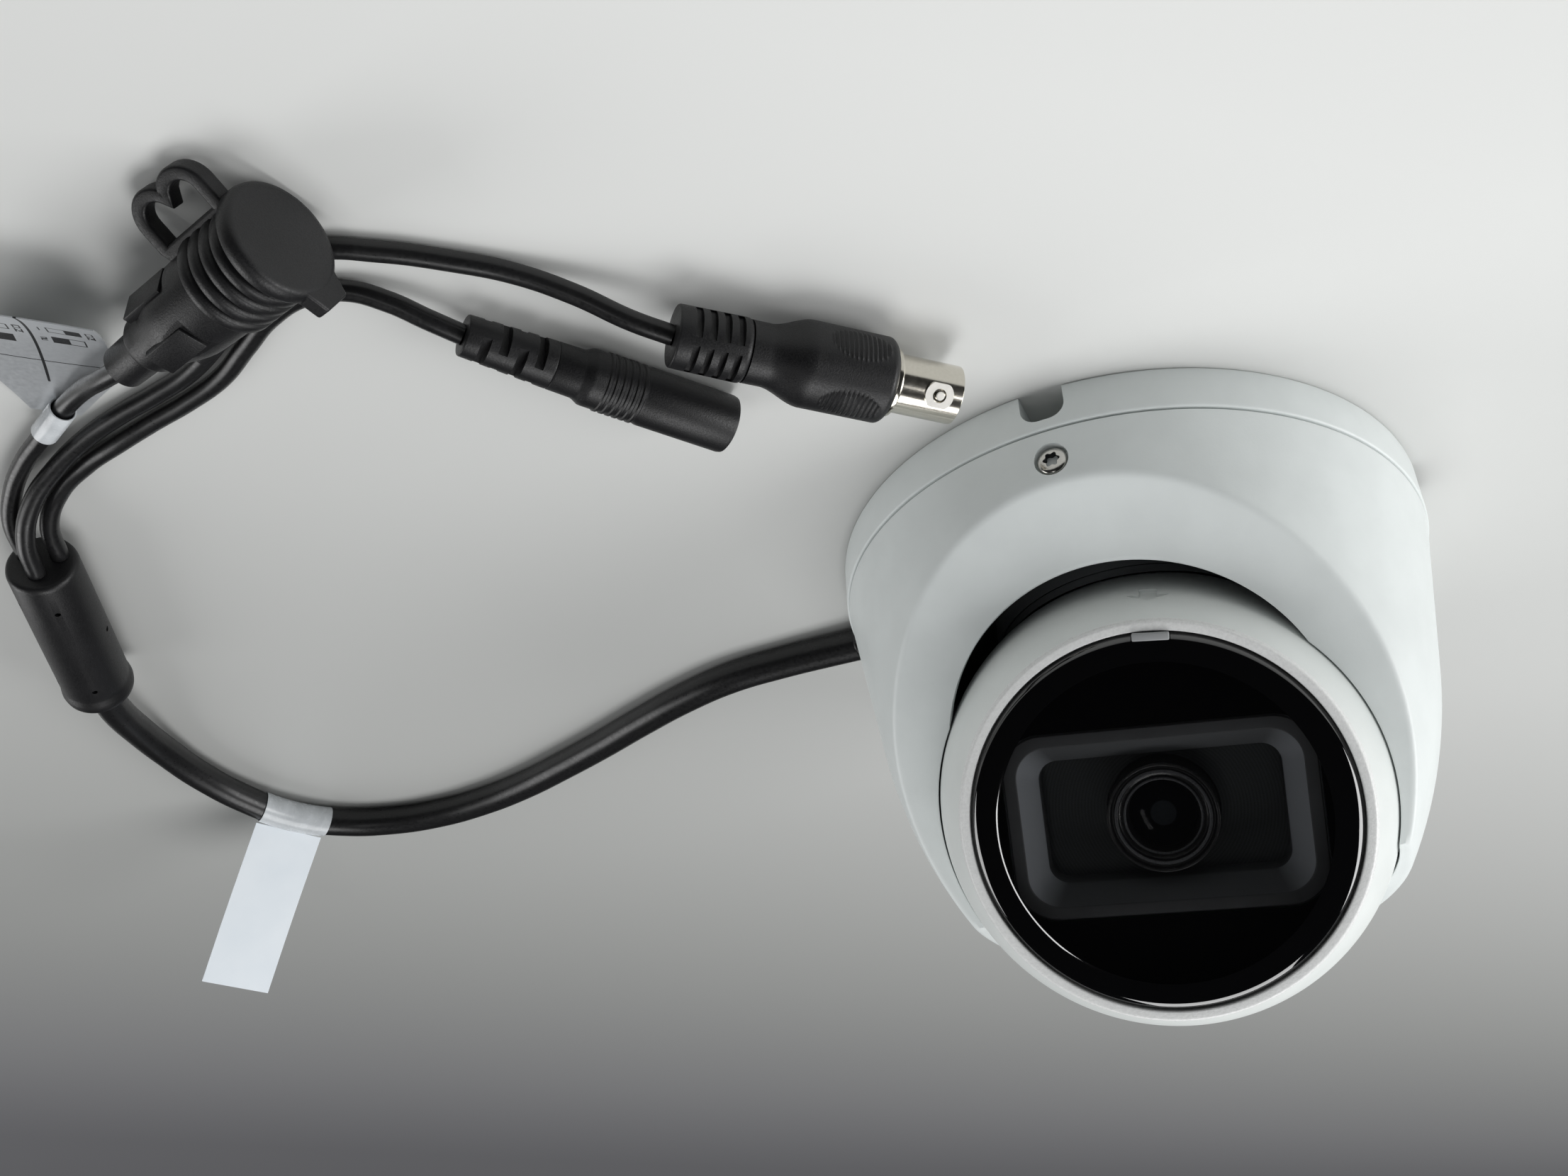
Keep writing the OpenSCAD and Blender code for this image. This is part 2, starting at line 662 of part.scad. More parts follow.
// Lens mount with four feet on the sensor board
module lens_holder() {
  z0 = board_z + board_t;
  color("black") in_ball() difference() {
    union() {
      translate([-holder_w / 2, -holder_w / 2, z0]) cube([holder_w, holder_w, 5]);
      translate([0, 0, z0]) cylinder(r = holder_r, h = lens_plate_z - z0);
    }
    translate([0, 0, z0 - past]) cylinder(d = lens_thread_d + 2 * turn_gap, h = 20);
    translate([-5, -5, z0 - past]) cube([10, 10, 3]);
  }
}

module image_sensor() {
  color("darkslategray") in_ball() translate([-4, -3.5, board_z + board_t]) cube([8, 7, 1]);
}

module sensor_board() {
  color("darkgreen") in_ball() translate([0, 0, board_z]) linear_extrude(board_t)
    plate2d(sensor_board_w, sensor_board_w, 2);
}

// Aluminium plate that carries the boards on the front shell's posts
module heat_bracket() {
  color("silver") in_ball() difference() {
    union() {
      translate([0, 0, board_z - bracket_t]) cylinder(r = shell_post_r + 2.6, h = bracket_t);
      for (x = [-1, 1], y = [-1, 1]) translate([standoff_xy * x, standoff_xy * y,
        board_z - bracket_t - standoff_l])
        cylinder(d = 5, h = standoff_l + 1);
    }
    for (a = shell_screw_angles) rotate(a) translate([shell_post_r, 0, -ball_r])
      cylinder(d = shell_post_d + 5, h = 2 * ball_r);
    for (a = bracket_screw_angles) rotate(a) translate([shell_post_r, 0, -ball_r])
      cylinder(d = 2.6, h = 2 * ball_r);
    for (x = [-1, 1], y = [-1, 1]) translate([standoff_xy * x, standoff_xy * y,
      board_z - bracket_t - standoff_l - past])
      cylinder(d = 2.2, h = 6);
    translate([-bracket_slot_w / 2, main_board_r - 5, -ball_r]) cube([bracket_slot_w, 5, 2 * ball_r]);
  }
}

// Main circuit board with its plug socket and processor
module main_board() {
  color("darkgreen") in_ball() difference() {
    union() {
      translate([0, 0, main_board_z]) cylinder(r = main_board_r, h = board_t);
      translate([-chip_w / 2, -chip_w / 2, main_board_z - 1.2]) cube([chip_w, chip_w, 1.3]);
      translate([-socket_w / 2, 14, main_board_z - 4]) cube([socket_w, socket_d, 4.1]);
    }
    for (x = [-1, 1], y = [-1, 1]) translate([standoff_xy * x, standoff_xy * y, main_board_z - past])
      cylinder(d = board_screw_d + screw_play, h = 4);
  }
}

// Screws of the bracket and of the main board
module board_screw(l) {
  translate([0, 0, -1.6]) cylinder(d = board_screw_head_d, h = 1.6);
  cylinder(d = board_screw_d, h = l);
}

module board_screws() {
  color("silver") in_ball() {
    for (a = bracket_screw_angles) rotate(a)
      translate([shell_post_r, 0, board_z - bracket_t]) board_screw(8);
    for (x = [-1, 1], y = [-1, 1]) translate([standoff_xy * x, standoff_xy * y,
      main_board_z]) board_screw(6);
  }
}

// Board round the light shield that carries the lamps
module ir_board() {
  color("darkgreen") in_ball() difference() {
    translate([0, 0, ir_board_z]) cylinder(r = shell_post_r + 2, h = board_t);
    translate([0, 0, ir_board_z - past]) linear_extrude(4)
      plate2d(shield_l + 0.6, shield_w + 0.6, shield_r);
    for (a = concat(shell_screw_angles, bracket_screw_angles)) rotate(a) translate([shell_post_r, 0, 0])
      cylinder(d = shell_post_d + 4 * fit_gap, h = ball_r);
  }
}

// Two infrared lamps, each a base with a domed lens
module ir_leds() {
  color("gold") in_ball() for (x = [-1, 1]) translate([6 * x, 21.4, ir_board_z + board_t]) {
    translate([-2.2, -2.2, 0]) cube([4.4, 4.4, 0.8]);
    intersection() {
      cylinder(r = 2, h = 2.5);
      translate([0, 0, 0.4]) sphere(r = 2);
    }
  }
}

module light_sensor() {
  color("dimgray") in_ball() translate([0, -21.4, ir_board_z + board_t]) {
    translate([-1.6, -1.2, 0]) cube([3.2, 2.4, 1]);
    cylinder(r = 0.8, h = 1.4);
  }
}

module main_cable() { color("black") cable(main_route, cable_d, 10); }
module tail_switch() { color("black") cable(switch_route, tail_d, 8); }
module tail_power() { color("black") cable(power_route, tail_d, 8); }
module tail_video() { color("black") cable(video_route, tail_d, 8); }

// White flag folded round the main cable
module cable_tag() {
  at = main_route[14];
  way = main_route[15] - main_route[13];
  color("white") translate(at) rotate([0, 0, atan2(way[1], way[0])]) rotate([tag_rise, 0, 0]) {
    rotate([0, 90, 0]) translate([0, 0, -tag_w / 2])
      tube(cable_d / 2 + 2 * label_t, cable_d / 2 + label_t, 0, tag_w);
    translate([-tag_w / 2, cable_d / 2 + label_t, -label_t]) cube([tag_w, tag_l, 2 * label_t]);
  }
}

// Bulged moulding where the main cable splits into three tails
module junction() {
  r = junction_d / 2;
  color("black") along(junction_p, junction_dir) rotate_extrude() {
    polygon([[0, 0], [r - 2.4, 0], [r - 2.4, 4], [r - 0.2, 4], [r - 0.6, junction_l - 0.6], [r - 1.2,
      junction_l],
      [0, junction_l]]);
    translate([r - 2.4, 2.5]) circle(2.5);
  }
}

// Foil flag folded round the switch tail, widening from its fold and curling up on an arc
module switch_tag() {
  way = switch_route[5] - switch_route[4];
  r = tail_d / 2 + 2 * label_t;
  color("silver") translate(foil_p) {
    rotate([0, 0, atan2(way[1], way[0])]) rotate([0, 90, 0]) translate([0, 0, -foil_sleeve_l / 2])
      tube(r, r - label_t, 0, foil_sleeve_l);
    translate([0, 0, -r]) rotate([0, 0, foil_dir]) intersection() {
      linear_extrude(foil_l) polygon([[0, -4], [12, -foil_w / 2], [foil_l, -foil_w / 2],
        [foil_l, foil_w / 2], [12, foil_w / 2], [0, 4]]);
      rotate([90, 0, 0]) linear_extrude(foil_w + 2, center = true) translate([0, foil_curl])
        difference() {
          circle(foil_curl, $fn = 96);
          circle(foil_curl - label_t, $fn = 96);
        }
    }
  }
}

// Half section of the switch pod: neck, cone, body and four ribs
module pod2d() {
  r = pod_rib_d / 2;
  polygon([[0, 0], [3.6, 0], [3.8, 7], [4.6, 7.6], [r - 1.2, 19], [r - 0.9, pod_ribs_z], [0, pod_ribs_z]]);
  translate([0, pod_ribs_z]) square([r - 1, pod_l - pod_ribs_z]);
  for (k = [0 : 3]) translate([0, pod_ribs_z + 2.6 * k]) square([r, 1.7]);
}

// Heart-shaped eye of the strap, its foot on the pod
module strap2d() {
  lobe = 4.6;
  eye = lobe - 2.3;
  low = 27.4;
  high = 33.6;
  reach = 12.4;
  difference() {
    union() {
      for (z = [low, high]) translate([z, reach]) circle(lobe);
      translate([low - lobe, 6]) square([high - low + 2 * lobe, reach - 6]);
    }
    for (z = [low, high]) translate([z, reach]) circle(eye);
    translate([low - eye, 4]) square([high - low + 2 * eye, reach - 4]);
  }
}

module switch_pod() {
  color("black") along(pod_p, pod_dir) difference() {
    union() {
      difference() {
        rotate_extrude() pod2d();
        // Four flats on the cone
        for (a = [0 : 90 : 270]) rotate(a) translate([pod_flat, -10, 9]) cube([10, 20, pod_floor_z - 9.4]);
      }
      for (a = [0 : 90 : 270]) rotate(a) translate([pod_flat - 1, -2.4, 12]) cube([1.5, 4.8, 9]);
      rotate(-strap_dip) rotate([0, -90, 0]) linear_extrude(3, center = true) strap2d();
    }
    translate([0, 0, pod_floor_z]) cylinder(r = pod_bore_r, h = pod_l);
  }
}

// Half section of the cap: plug, rim and rounded face
module cap2d() {
  r = pod_cap_d / 2;
  translate([0, pod_l - 4]) square([pod_bore_r - turn_gap, 5]);
  translate([0, pod_l + run_gap]) polygon([[0, 0], [r - 0.8, 0], [r, 0.9], [r - 0.2, 2.2], [r - 1.1, 3],
    [0, 3]]);
}

// Cap with a plug that seals the pod, and a pull tab
module pod_cap() {
  color("black") along(pod_p, pod_dir) {
    rotate_extrude() cap2d();
    rotate(-strap_dip) translate([-2.8, -pod_cap_d / 2 - 2.4, pod_l + run_gap + 0.2]) cube([5.6, 5, 2.6]);
  }
}

// Body of the two-way switch inside the pod
module dip_block() {
  color("firebrick") along(pod_p, pod_dir) difference() {
    translate([-4.4, -3.6, pod_floor_z]) cube([8.8, 7.2, dip_z - pod_floor_z]);
    for (x = [-1, 1]) translate([2.2 * x - 0.95, -1.6, dip_z - 1.4])
      cube([1.9, 1.9 + slider_travel + 0.2, 2]);
  }
}

module dip_slider(x) {
  color("white") along(pod_p, pod_dir) translate([2.2 * x - 0.75, -1.4, dip_z - 1.2]) cube([1.5, 1.5, 2.4]);
}
module dip_slider_1() { dip_slider(-1); }
module dip_slider_2() { dip_slider(1); }

// Tapered boot with staggered slots
module slotted_boot(r0, r1, l, slots) {
  pitch = (l - 3) / slots;
  difference() {
    cylinder(r1 = r0, r2 = r1, h = l);
    for (k = [0 : slots - 1], s = [-1, 1]) rotate(90 * (k % 2))
      translate([s * 1.1 * r1, 0, 2 + pitch * (k + 0.4)])
      cube([1.3 * r1, 4 * r1, 0.5 * pitch], center = true);
  }
}

module dc_relief() {
  color("black") along(dc_p, dc_dir) slotted_boot(0.3 * dc_d + 0.4, 0.4 * dc_d, dc_relief_l, 4);
}

// Power jack: collar, ringed grip and plain barrel with its socket
module dc_body() {
  r = dc_d / 2;
  color("black") along(dc_p, dc_dir) difference() {
    rotate_extrude() {
      polygon([[0, dc_relief_l], [r - 1.1, dc_relief_l], [r - 0.9, dc_relief_l + 4.6], [r - 0.2,
        dc_relief_l + 6],
        [r - 0.2, dc_l], [0, dc_l]]);
      for (k = [0 : 5]) translate([0, dc_relief_l + 8.6 + 1.2 * k]) square([r, 0.7]);
      translate([0, dc_relief_l + 16]) square([r, dc_l - dc_relief_l - 16]);
    }
    translate([0, 0, dc_l - dc_socket_l]) cylinder(d = dc_socket_d + 0.8, h = dc_socket_l + past);
  }
}

// Spring sleeve round the socket
module dc_contact() {
  color("silver") along(dc_p, dc_dir)
    tube(dc_socket_d / 2 + 0.3, dc_socket_d / 2, dc_l - dc_socket_l, dc_l - 1);
}

module dc_pin() {
  color("silver") along(dc_p, dc_dir) translate([0, 0, dc_l - dc_socket_l])
    cylinder(d = dc_pin_d, h = dc_socket_l - 1.5);
}

// Boot of the video jack: four rows of slots with ribs between
module bnc_relief() {
  r = 0.36 * bnc_grip_d;
  pitch = (bnc_relief_l - 3) / 4;
  color("black") along(bnc_p, bnc_dir) difference() {
    rotate_extrude() {
      polygon([[0, 0], [r - 1.2, 0], [r - 0.2, 1], [r, bnc_relief_l], [0, bnc_relief_l]]);
    }
    for (a = [0 : 90 : 270], k = [0 : 3]) rotate(a) translate([r - 1.4, -0.58 * r, 2.4 + pitch * k])
      cube([3, 1.16 * r, 0.5 * pitch]);
  }
}

// Moulded grip of the video jack, with four ribbed pads
module bnc_body() {
  r = bnc_grip_d / 2 - 0.2;
  pad_z = 24;
  color("black") along(bnc_p, bnc_dir) difference() {
    union() {
      rotate_extrude() polygon([[0, bnc_relief_l], [r - 2.1, bnc_relief_l], [r - 2.1, 15], [r - 1.6, 17.5],
        [r - 0.5, 20.5], [r, 23], [r, bnc_body_l - 1], [r - 1, bnc_body_l], [0, bnc_body_l]]);
      for (a = [0 : 90 : 270], k = [0 : 6]) rotate(a) translate([r - 0.8, -2.6, pad_z + 1.4 * k])
        cube([1.1, 5.2, 0.8]);
    }
    translate([0, 0, bnc_body_l - 3]) cylinder(d = bnc_barrel_d + 2 * fit_gap, h = 4);
  }
}

// Nickel barrel with its two bayonet lugs
module bnc_barrel() {
  r = bnc_barrel_d / 2;
  color("silver") along(bnc_p, bnc_dir) difference() {
    union() {
      translate([0, 0, bnc_body_l - 3]) cylinder(r = r, h = bnc_l - bnc_body_l + 3);
      translate([0, 0, bnc_body_l]) cylinder(r = r + 0.9, h = 1);
      translate([0, 0, bnc_l - 4.6]) rotate([0, 90, 0]) cylinder(r = 1, h = 2 * r + 1.6, center = true);
      translate([0, 0, bnc_l - 4.6]) rotate([0, 90, 0]) cylinder(r = 1.9, h = 2 * r + 0.3, center = true);
    }
    translate([0, 0, bnc_l - bnc_socket_l]) cylinder(r = r - 0.75, h = bnc_socket_l + past);
  }
}

module bnc_insulator() {
  color("white") along(bnc_p, bnc_dir) tube(2.4, 0.9, bnc_l - bnc_socket_l, bnc_l - 2.6);
}

module bnc_contact() {
  color("gold") along(bnc_p, bnc_dir) tube(0.85, 0.5, bnc_l - bnc_socket_l, bnc_l - 3);
}

base_plate();
cable_grommet();
cover();
lock_screw();
cover_screws();
ball_seat();
friction_ring();
cable_gland();
inner_lead();
front_shell();
rear_shell();
shell_screws();
window();
window_seal();
bezel_clip();
light_shield();
lens_plate();
lens_barrel();
lens_glass();
lens_holder();
image_sensor();
sensor_board();
heat_bracket();
main_board();
board_screws();
ir_board();
ir_leds();
light_sensor();
main_cable();
cable_tag();
junction();
tail_switch();
tail_power();
tail_video();
switch_tag();
switch_pod();
pod_cap();
dip_block();
dip_slider_1();
dip_slider_2();
dc_relief();
dc_body();
dc_contact();
dc_pin();
bnc_relief();
bnc_body();
bnc_barrel();
bnc_insulator();
bnc_contact();
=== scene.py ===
from math import atan2, cos, hypot, pi, radians, sin, sqrt

import bpy
from mathutils import Matrix, Vector


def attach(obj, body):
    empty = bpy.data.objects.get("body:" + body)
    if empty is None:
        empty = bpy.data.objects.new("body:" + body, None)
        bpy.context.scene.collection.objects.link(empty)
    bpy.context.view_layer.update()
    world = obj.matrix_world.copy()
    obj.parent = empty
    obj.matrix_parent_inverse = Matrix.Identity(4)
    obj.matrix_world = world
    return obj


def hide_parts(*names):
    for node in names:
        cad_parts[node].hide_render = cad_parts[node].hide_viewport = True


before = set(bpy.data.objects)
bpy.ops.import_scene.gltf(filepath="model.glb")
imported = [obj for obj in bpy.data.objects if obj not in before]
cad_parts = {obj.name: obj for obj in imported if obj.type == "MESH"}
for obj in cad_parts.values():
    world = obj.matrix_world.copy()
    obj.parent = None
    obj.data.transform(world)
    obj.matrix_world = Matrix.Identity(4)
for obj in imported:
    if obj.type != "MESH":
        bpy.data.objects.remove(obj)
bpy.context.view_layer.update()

MM = 0.001
scene = bpy.context.scene
scene.view_settings.view_transform = "Standard"


def named(name):
    """The object that an operator has just added, with its name."""
    piece = bpy.context.object
    piece.name = name
    return piece


# ---------------------------------------------------------------- camera

PHOTO_W = 2212
FOCAL_PX = 2302.4
LOOK_AT = Vector((64.234, -20.688, 0)) * MM
DISTANCE = 325.87 * MM
ELEVATION = radians(34.092)
AZIMUTH = radians(-24.251)
ROLL = radians(178.174)

back = Vector((sin(AZIMUTH) * cos(ELEVATION), -cos(AZIMUTH) * cos(ELEVATION), sin(ELEVATION)))
level = Vector((cos(AZIMUTH), sin(AZIMUTH), 0))
upright = back.cross(level)
right = cos(ROLL) * level + sin(ROLL) * upright
above = -sin(ROLL) * level + cos(ROLL) * upright

bpy.ops.object.camera_add()
camera = named("photo_camera")
camera.data.sensor_fit = "HORIZONTAL"
camera.data.sensor_width = 36
camera.data.lens = 36 * FOCAL_PX / PHOTO_W
camera.data.clip_start = 0.01
camera.data.clip_end = 20
place = Matrix((right, above, back)).transposed().to_4x4()
place.translation = LOOK_AT + DISTANCE * back
camera.matrix_world = place
scene.camera = camera


# ---------------------------------------------------------------- making materials

def linear(code):
    """Linear colour of an sRGB hex value."""
    parts = [int(code[i:i + 2], 16) / 255 for i in (1, 3, 5)]
    return [c / 12.92 if c <= 0.04045 else ((c + 0.055) / 1.055) ** 2.4 for c in parts] + [1]


def add_node(tree, kind, inputs=None, **settings):
    """Node of a kind, its settings set, each input given a number or joined to another node's output."""
    node = tree.nodes.new(kind)
    for key, value in settings.items():
        setattr(node, key, value)
    for key, value in (inputs or {}).items():
        if isinstance(value, bpy.types.NodeSocket):
            tree.links.new(value, node.inputs[key])
        else:
            node.inputs[key].default_value = value
    return node


def new_material(name):
    """Empty material: its node tree, its Principled shader and the object's own coordinates."""
    finish = bpy.data.materials.new(name)
    finish.use_nodes = True
    tree = finish.node_tree
    shader = tree.nodes["Principled BSDF"]
    coords = add_node(tree, "ShaderNodeTexCoord").outputs["Object"]
    return finish, tree, shader, coords


def set_shader(shader, **values):
    """Plain numbers and colours go straight on the shader's sockets."""
    for key, value in values.items():
        shader.inputs[key.replace("_", " ").title().replace("Ior", "IOR")].default_value = value


def toned(tree, value, base, tone, start=0.0, end=1.0):
    """Colour that runs from base to tone while a value runs from start to end."""
    ramp = add_node(tree, "ShaderNodeValToRGB", {"Fac": value})
    for stop, place, code in zip(ramp.color_ramp.elements, (start, end), (base, tone)):
        stop.position = place
        stop.color = linear(code)
    return ramp.outputs["Color"]


def wired(tree, shader, colour, gloss, bump):
    """Colour, roughness and bump joined to the shader."""
    tree.links.new(colour, shader.inputs["Base Color"])
    tree.links.new(gloss.outputs["Result"], shader.inputs["Roughness"])
    tree.links.new(bump.outputs["Normal"], shader.inputs["Normal"])


def grained(name, base, tone, roughness, rough_spread, grain_mm, grain_depth, cloud_mm=9, ior=1.5):
    """Moulded, sprayed or printed finish: colour that drifts a little, uneven gloss and a fine grain."""
    finish, tree, shader, coords = new_material(name)
    cloud = add_node(tree, "ShaderNodeTexNoise", {"Vector": coords, "Scale": 1000 / cloud_mm, "Detail": 3.0})
    grain = add_node(tree, "ShaderNodeTexNoise", {"Vector": coords, "Scale": 1000 / grain_mm, "Detail": 2.0})
    gloss = add_node(tree, "ShaderNodeMapRange", {"Value": grain.outputs["Fac"], "From Min": 0.3, "From Max": 0.7,
                     "To Min": roughness - rough_spread, "To Max": roughness + rough_spread})
    bump = add_node(tree, "ShaderNodeBump", {"Height": grain.outputs["Fac"], "Strength": 1.0,
                    "Distance": grain_depth * MM})
    wired(tree, shader, toned(tree, cloud.outputs["Fac"], base, tone, 0.35, 0.7), gloss, bump)
    set_shader(shader, ior=ior)
    return finish


# ---------------------------------------------------------------- finishes

# Powder coat on die-cast aluminium: off-white, satin, with the faint orange peel of a baked spray
WHITE_COAT = grained("powder_coat_white", "#E0E5E4", "#DBE0DF", 0.42, 0.05, 0.5, 0.012)
# The ball's coat is the same paint on a finer blast
SHELL_COAT = grained("powder_coat_ball", "#E1E5E3", "#DDE1DF", 0.40, 0.05, 0.35, 0.008)
# Bezel: the same paint over a coarse blast, so it sparkles a little, and made paler than the ball's coat as painted
# light
BEZEL_COAT_PAINTED_LIGHT = grained("blasted_coat_bezel_painted_light", "#E8E9E8", "#DDDEDD", 0.36, 0.12, 0.28, 0.05, cloud_mm=0.5)
# Soft PVC moulded over the plugs: black, dry, with a spark-eroded mould's grain
MOULDED_PVC = grained("moulded_pvc_black", "#0D0D0F", "#141416", 0.45, 0.08, 0.25, 0.03, ior=1.47)
# Cable jacket: extruded PVC, smoother and shinier than the mouldings
JACKET_PVC = grained("cable_jacket_pvc", "#131314", "#19191A", 0.33, 0.06, 0.6, 0.006, cloud_mm=14)
# Silicone rubber of the light shield: dark grey, matt
SHIELD_RUBBER = grained("silicone_rubber_grey", "#3A3B3D", "#424345", 0.6, 0.06, 0.2, 0.01, ior=1.42)
# Glass-filled nylon of the gland, the rear shell and the lens holder, and the painted shade in the screw's socket
DARK_NYLON_AND_SOCKET_SHADE = grained("glass_filled_nylon_and_socket_shade", "#202122", "#292A2B", 0.5, 0.1, 0.4, 0.02, ior=1.53)
# Acetal of the ball's seat and friction ring: waxy, its mid grey partly painted light that stands in for the shaded
# white inside of the cover seen in the gap round the ball
ACETAL_PAINTED_GAP_LIGHT = grained("acetal_grey_painted_gap_light", "#6C6E70", "#777A7C", 0.4, 0.06, 0.4, 0.005, ior=1.48)
# Black anodised aluminium of the lens
BLACK_ANODISE = grained("black_anodised_aluminium", "#101011", "#161618", 0.32, 0.05, 0.3, 0.004, ior=1.6)
# Painted highlight on the tops of two of the lens's steps: a paler anodise that stands in for the light they catch
STEP_PAINTED_HIGHLIGHT = grained("anodised_painted_step_highlight", "#3C3D40", "#4A4B4E", 0.3, 0.05, 0.3, 0.004, ior=1.6)
# Printed black mask behind the window: matt screen ink
WINDOW_INK = grained("window_print_black", "#020203", "#030304", 0.6, 0.02, 2.0, 0.0005, ior=1.05)
# Rounded edge of the window: the same print seen through polished glass
WINDOW_EDGE = grained("window_edge_black", "#020203", "#030304", 0.04, 0.01, 8.0, 0.0002, ior=1.9)
# Frosted clear plastic of the window's key
FROSTED = grained("frosted_polycarbonate", "#8E9091", "#9C9E9F", 0.5, 0.08, 0.3, 0.01, ior=1.58)
# White ABS of the small sliders and the insulator
WHITE_ABS = grained("white_abs", "#DEDDD6", "#E6E5DF", 0.4, 0.06, 0.3, 0.005, ior=1.54)
# Red nylon of the switch block
SWITCH_NYLON = grained("switch_nylon_red", "#8E1F1A", "#9C2620", 0.45, 0.06, 0.3, 0.006, ior=1.53)
# Solder resist over copper: deep green with the copper areas a little paler
SOLDER_RESIST = grained("solder_resist_green", "#123A22", "#1B4F2F", 0.35, 0.08, 0.8, 0.01, cloud_mm=2.5)
# Epoxy of the chips
CHIP_EPOXY = grained("epoxy_chip_black", "#1B1B1D", "#242427", 0.45, 0.06, 0.2, 0.006, ior=1.55)
# Silicone dome over the lamp's yellow phosphor
LAMP_SILICONE = grained("lamp_silicone", "#D9C77C", "#E4D79A", 0.2, 0.05, 0.5, 0.004, ior=1.41)
# Coated label paper
LABEL_PAPER = grained("label_paper", "#DDE4EA", "#E3E9EE", 0.42, 0.06, 0.25, 0.004, cloud_mm=12)
# Clear tape that holds the flag on the cable
LABEL_TAPE = grained("label_tape", "#B4B8BB", "#C7CBCE", 0.25, 0.06, 1.2, 0.01, cloud_mm=4)
# Black screen ink on the foil flag
LABEL_INK = grained("label_ink_black", "#161719", "#202124", 0.45, 0.08, 0.2, 0.003)

# Dark tinted window: polished, mostly clear to what stands right behind it
WINDOW_GLASS, tree, shader, coords = new_material("tinted_window_glass")
smear = add_node(tree, "ShaderNodeTexNoise", {"Vector": coords, "Scale": 1000 / 11, "Detail": 2.0})
wiped = add_node(tree, "ShaderNodeMapRange", {"Value": smear.outputs["Fac"], "To Min": 0.015, "To Max": 0.05})
tree.links.new(wiped.outputs["Result"], shader.inputs["Roughness"])
set_shader(shader, base_color=linear("#020203"), alpha=0.25, ior=2.4)


def brushed(name, base, tone, roughness, turned_mm, metal=1.0):
    """Bare or plated metal with the fine turning lines of its lathe work."""
    finish, tree, shader, coords = new_material(name)
    lines = add_node(tree, "ShaderNodeTexNoise", {"Vector": coords, "Scale": 1000 / turned_mm, "Detail": 4.0})
    gloss = add_node(tree, "ShaderNodeMapRange", {"Value": lines.outputs["Fac"], "To Min": roughness * 0.7,
                     "To Max": roughness * 1.3})
    bump = add_node(tree, "ShaderNodeBump", {"Height": lines.outputs["Fac"], "Strength": 0.6, "Distance": 0.003 * MM})
    wired(tree, shader, toned(tree, lines.outputs["Fac"], base, tone), gloss, bump)
    set_shader(shader, metallic=metal)
    return finish


# Stainless steel screw: warm grey, satin
STAINLESS = brushed("stainless_steel", "#B9B7B2", "#D2D0CB", 0.22, 0.3)
# Nickel plate on brass: slightly yellow, bright
NICKEL = brushed("nickel_plate", "#C9C4B8", "#DDD9CF", 0.16, 0.5)
# The same plate on the milled pads of the bayonet lugs: matt, and pale and part metal as a painted highlight
MILLED_NICKEL_PAINTED_HIGHLIGHT = brushed("milled_nickel_painted_highlight", "#DEDCD6", "#EBE9E4", 0.5, 0.4, 0.6)
# Gold flash on the contacts
GOLD = brushed("gold_flash", "#C9A24B", "#DDBB66", 0.2, 0.3)
# Plain aluminium of the bracket
ALUMINIUM = brushed("aluminium_sheet", "#B5B7B9", "#CACCCE", 0.35, 0.4)
# Matt aluminium foil of the switch flag, pale and only part metal: partly painted reflection of a bright room
FOIL = brushed("matt_foil_painted_reflection", "#BFC3C6", "#D3D6D9", 0.36, 0.8, 0.55)


# ---------------------------------------------------------------- shaping by hand

def select_only(piece):
    bpy.ops.object.select_all(action="DESELECT")
    piece.select_set(True)
    bpy.context.view_layer.objects.active = piece


def tidy(piece, angle=35):
    """Doubles merged, faces outwards, smooth shading up to an angle."""
    select_only(piece)
    bpy.ops.object.mode_set(mode="EDIT")
    bpy.ops.mesh.select_all(action="SELECT")
    bpy.ops.mesh.remove_doubles(threshold=0.000002)
    bpy.ops.mesh.dissolve_degenerate(threshold=0.000001)
    bpy.ops.mesh.normals_make_consistent(inside=False)
    bpy.ops.object.mode_set(mode="OBJECT")
    bpy.ops.object.shade_smooth_by_angle(angle=radians(angle))
    return piece


def ring(name, count, outline):
    """Ring whose cross sections are laid on outline(i), a list of points in mm, outside, top, inside, foot."""
    first = outline(0)
    bpy.ops.mesh.primitive_torus_add(major_segments=count, minor_segments=len(first))
    piece = named(name)
    for i in range(count):
        for j, point in enumerate(outline(i)):
            piece.data.vertices[i * len(first) + j].co = Vector(point) * MM
    return tidy(piece)


def turned_ring(name, count, section):
    """Ring turned on the Z axis from one section of (radius, height) points in mm."""
    def outline(i):
        a = 2 * pi * i / count
        return [(r * cos(a), r * sin(a), z) for r, z in section]
    return ring(name, count, outline)


def turned(name, count, section):
    """Solid turned on the Z axis, extruded and scaled ring by ring from its foot to its head, in mm."""
    r, z = section[0]
    bpy.ops.mesh.primitive_circle_add(vertices=count, radius=r * MM, fill_type="NGON", location=(0, 0, z * MM))
    piece = named(name)
    bpy.ops.object.transform_apply()
    bpy.ops.object.mode_set(mode="EDIT")
    bpy.ops.mesh.select_all(action="SELECT")
    for (r0, z0), (r1, z1) in zip(section, section[1:]):
        bpy.ops.mesh.extrude_region_move(TRANSFORM_OT_translate={"value": (0, 0, (z1 - z0) * MM)})
        bpy.ops.transform.resize(value=(r1 / r0, r1 / r0, 1), center_override=(0, 0, z1 * MM))
    bpy.ops.object.mode_set(mode="OBJECT")
    return tidy(piece)


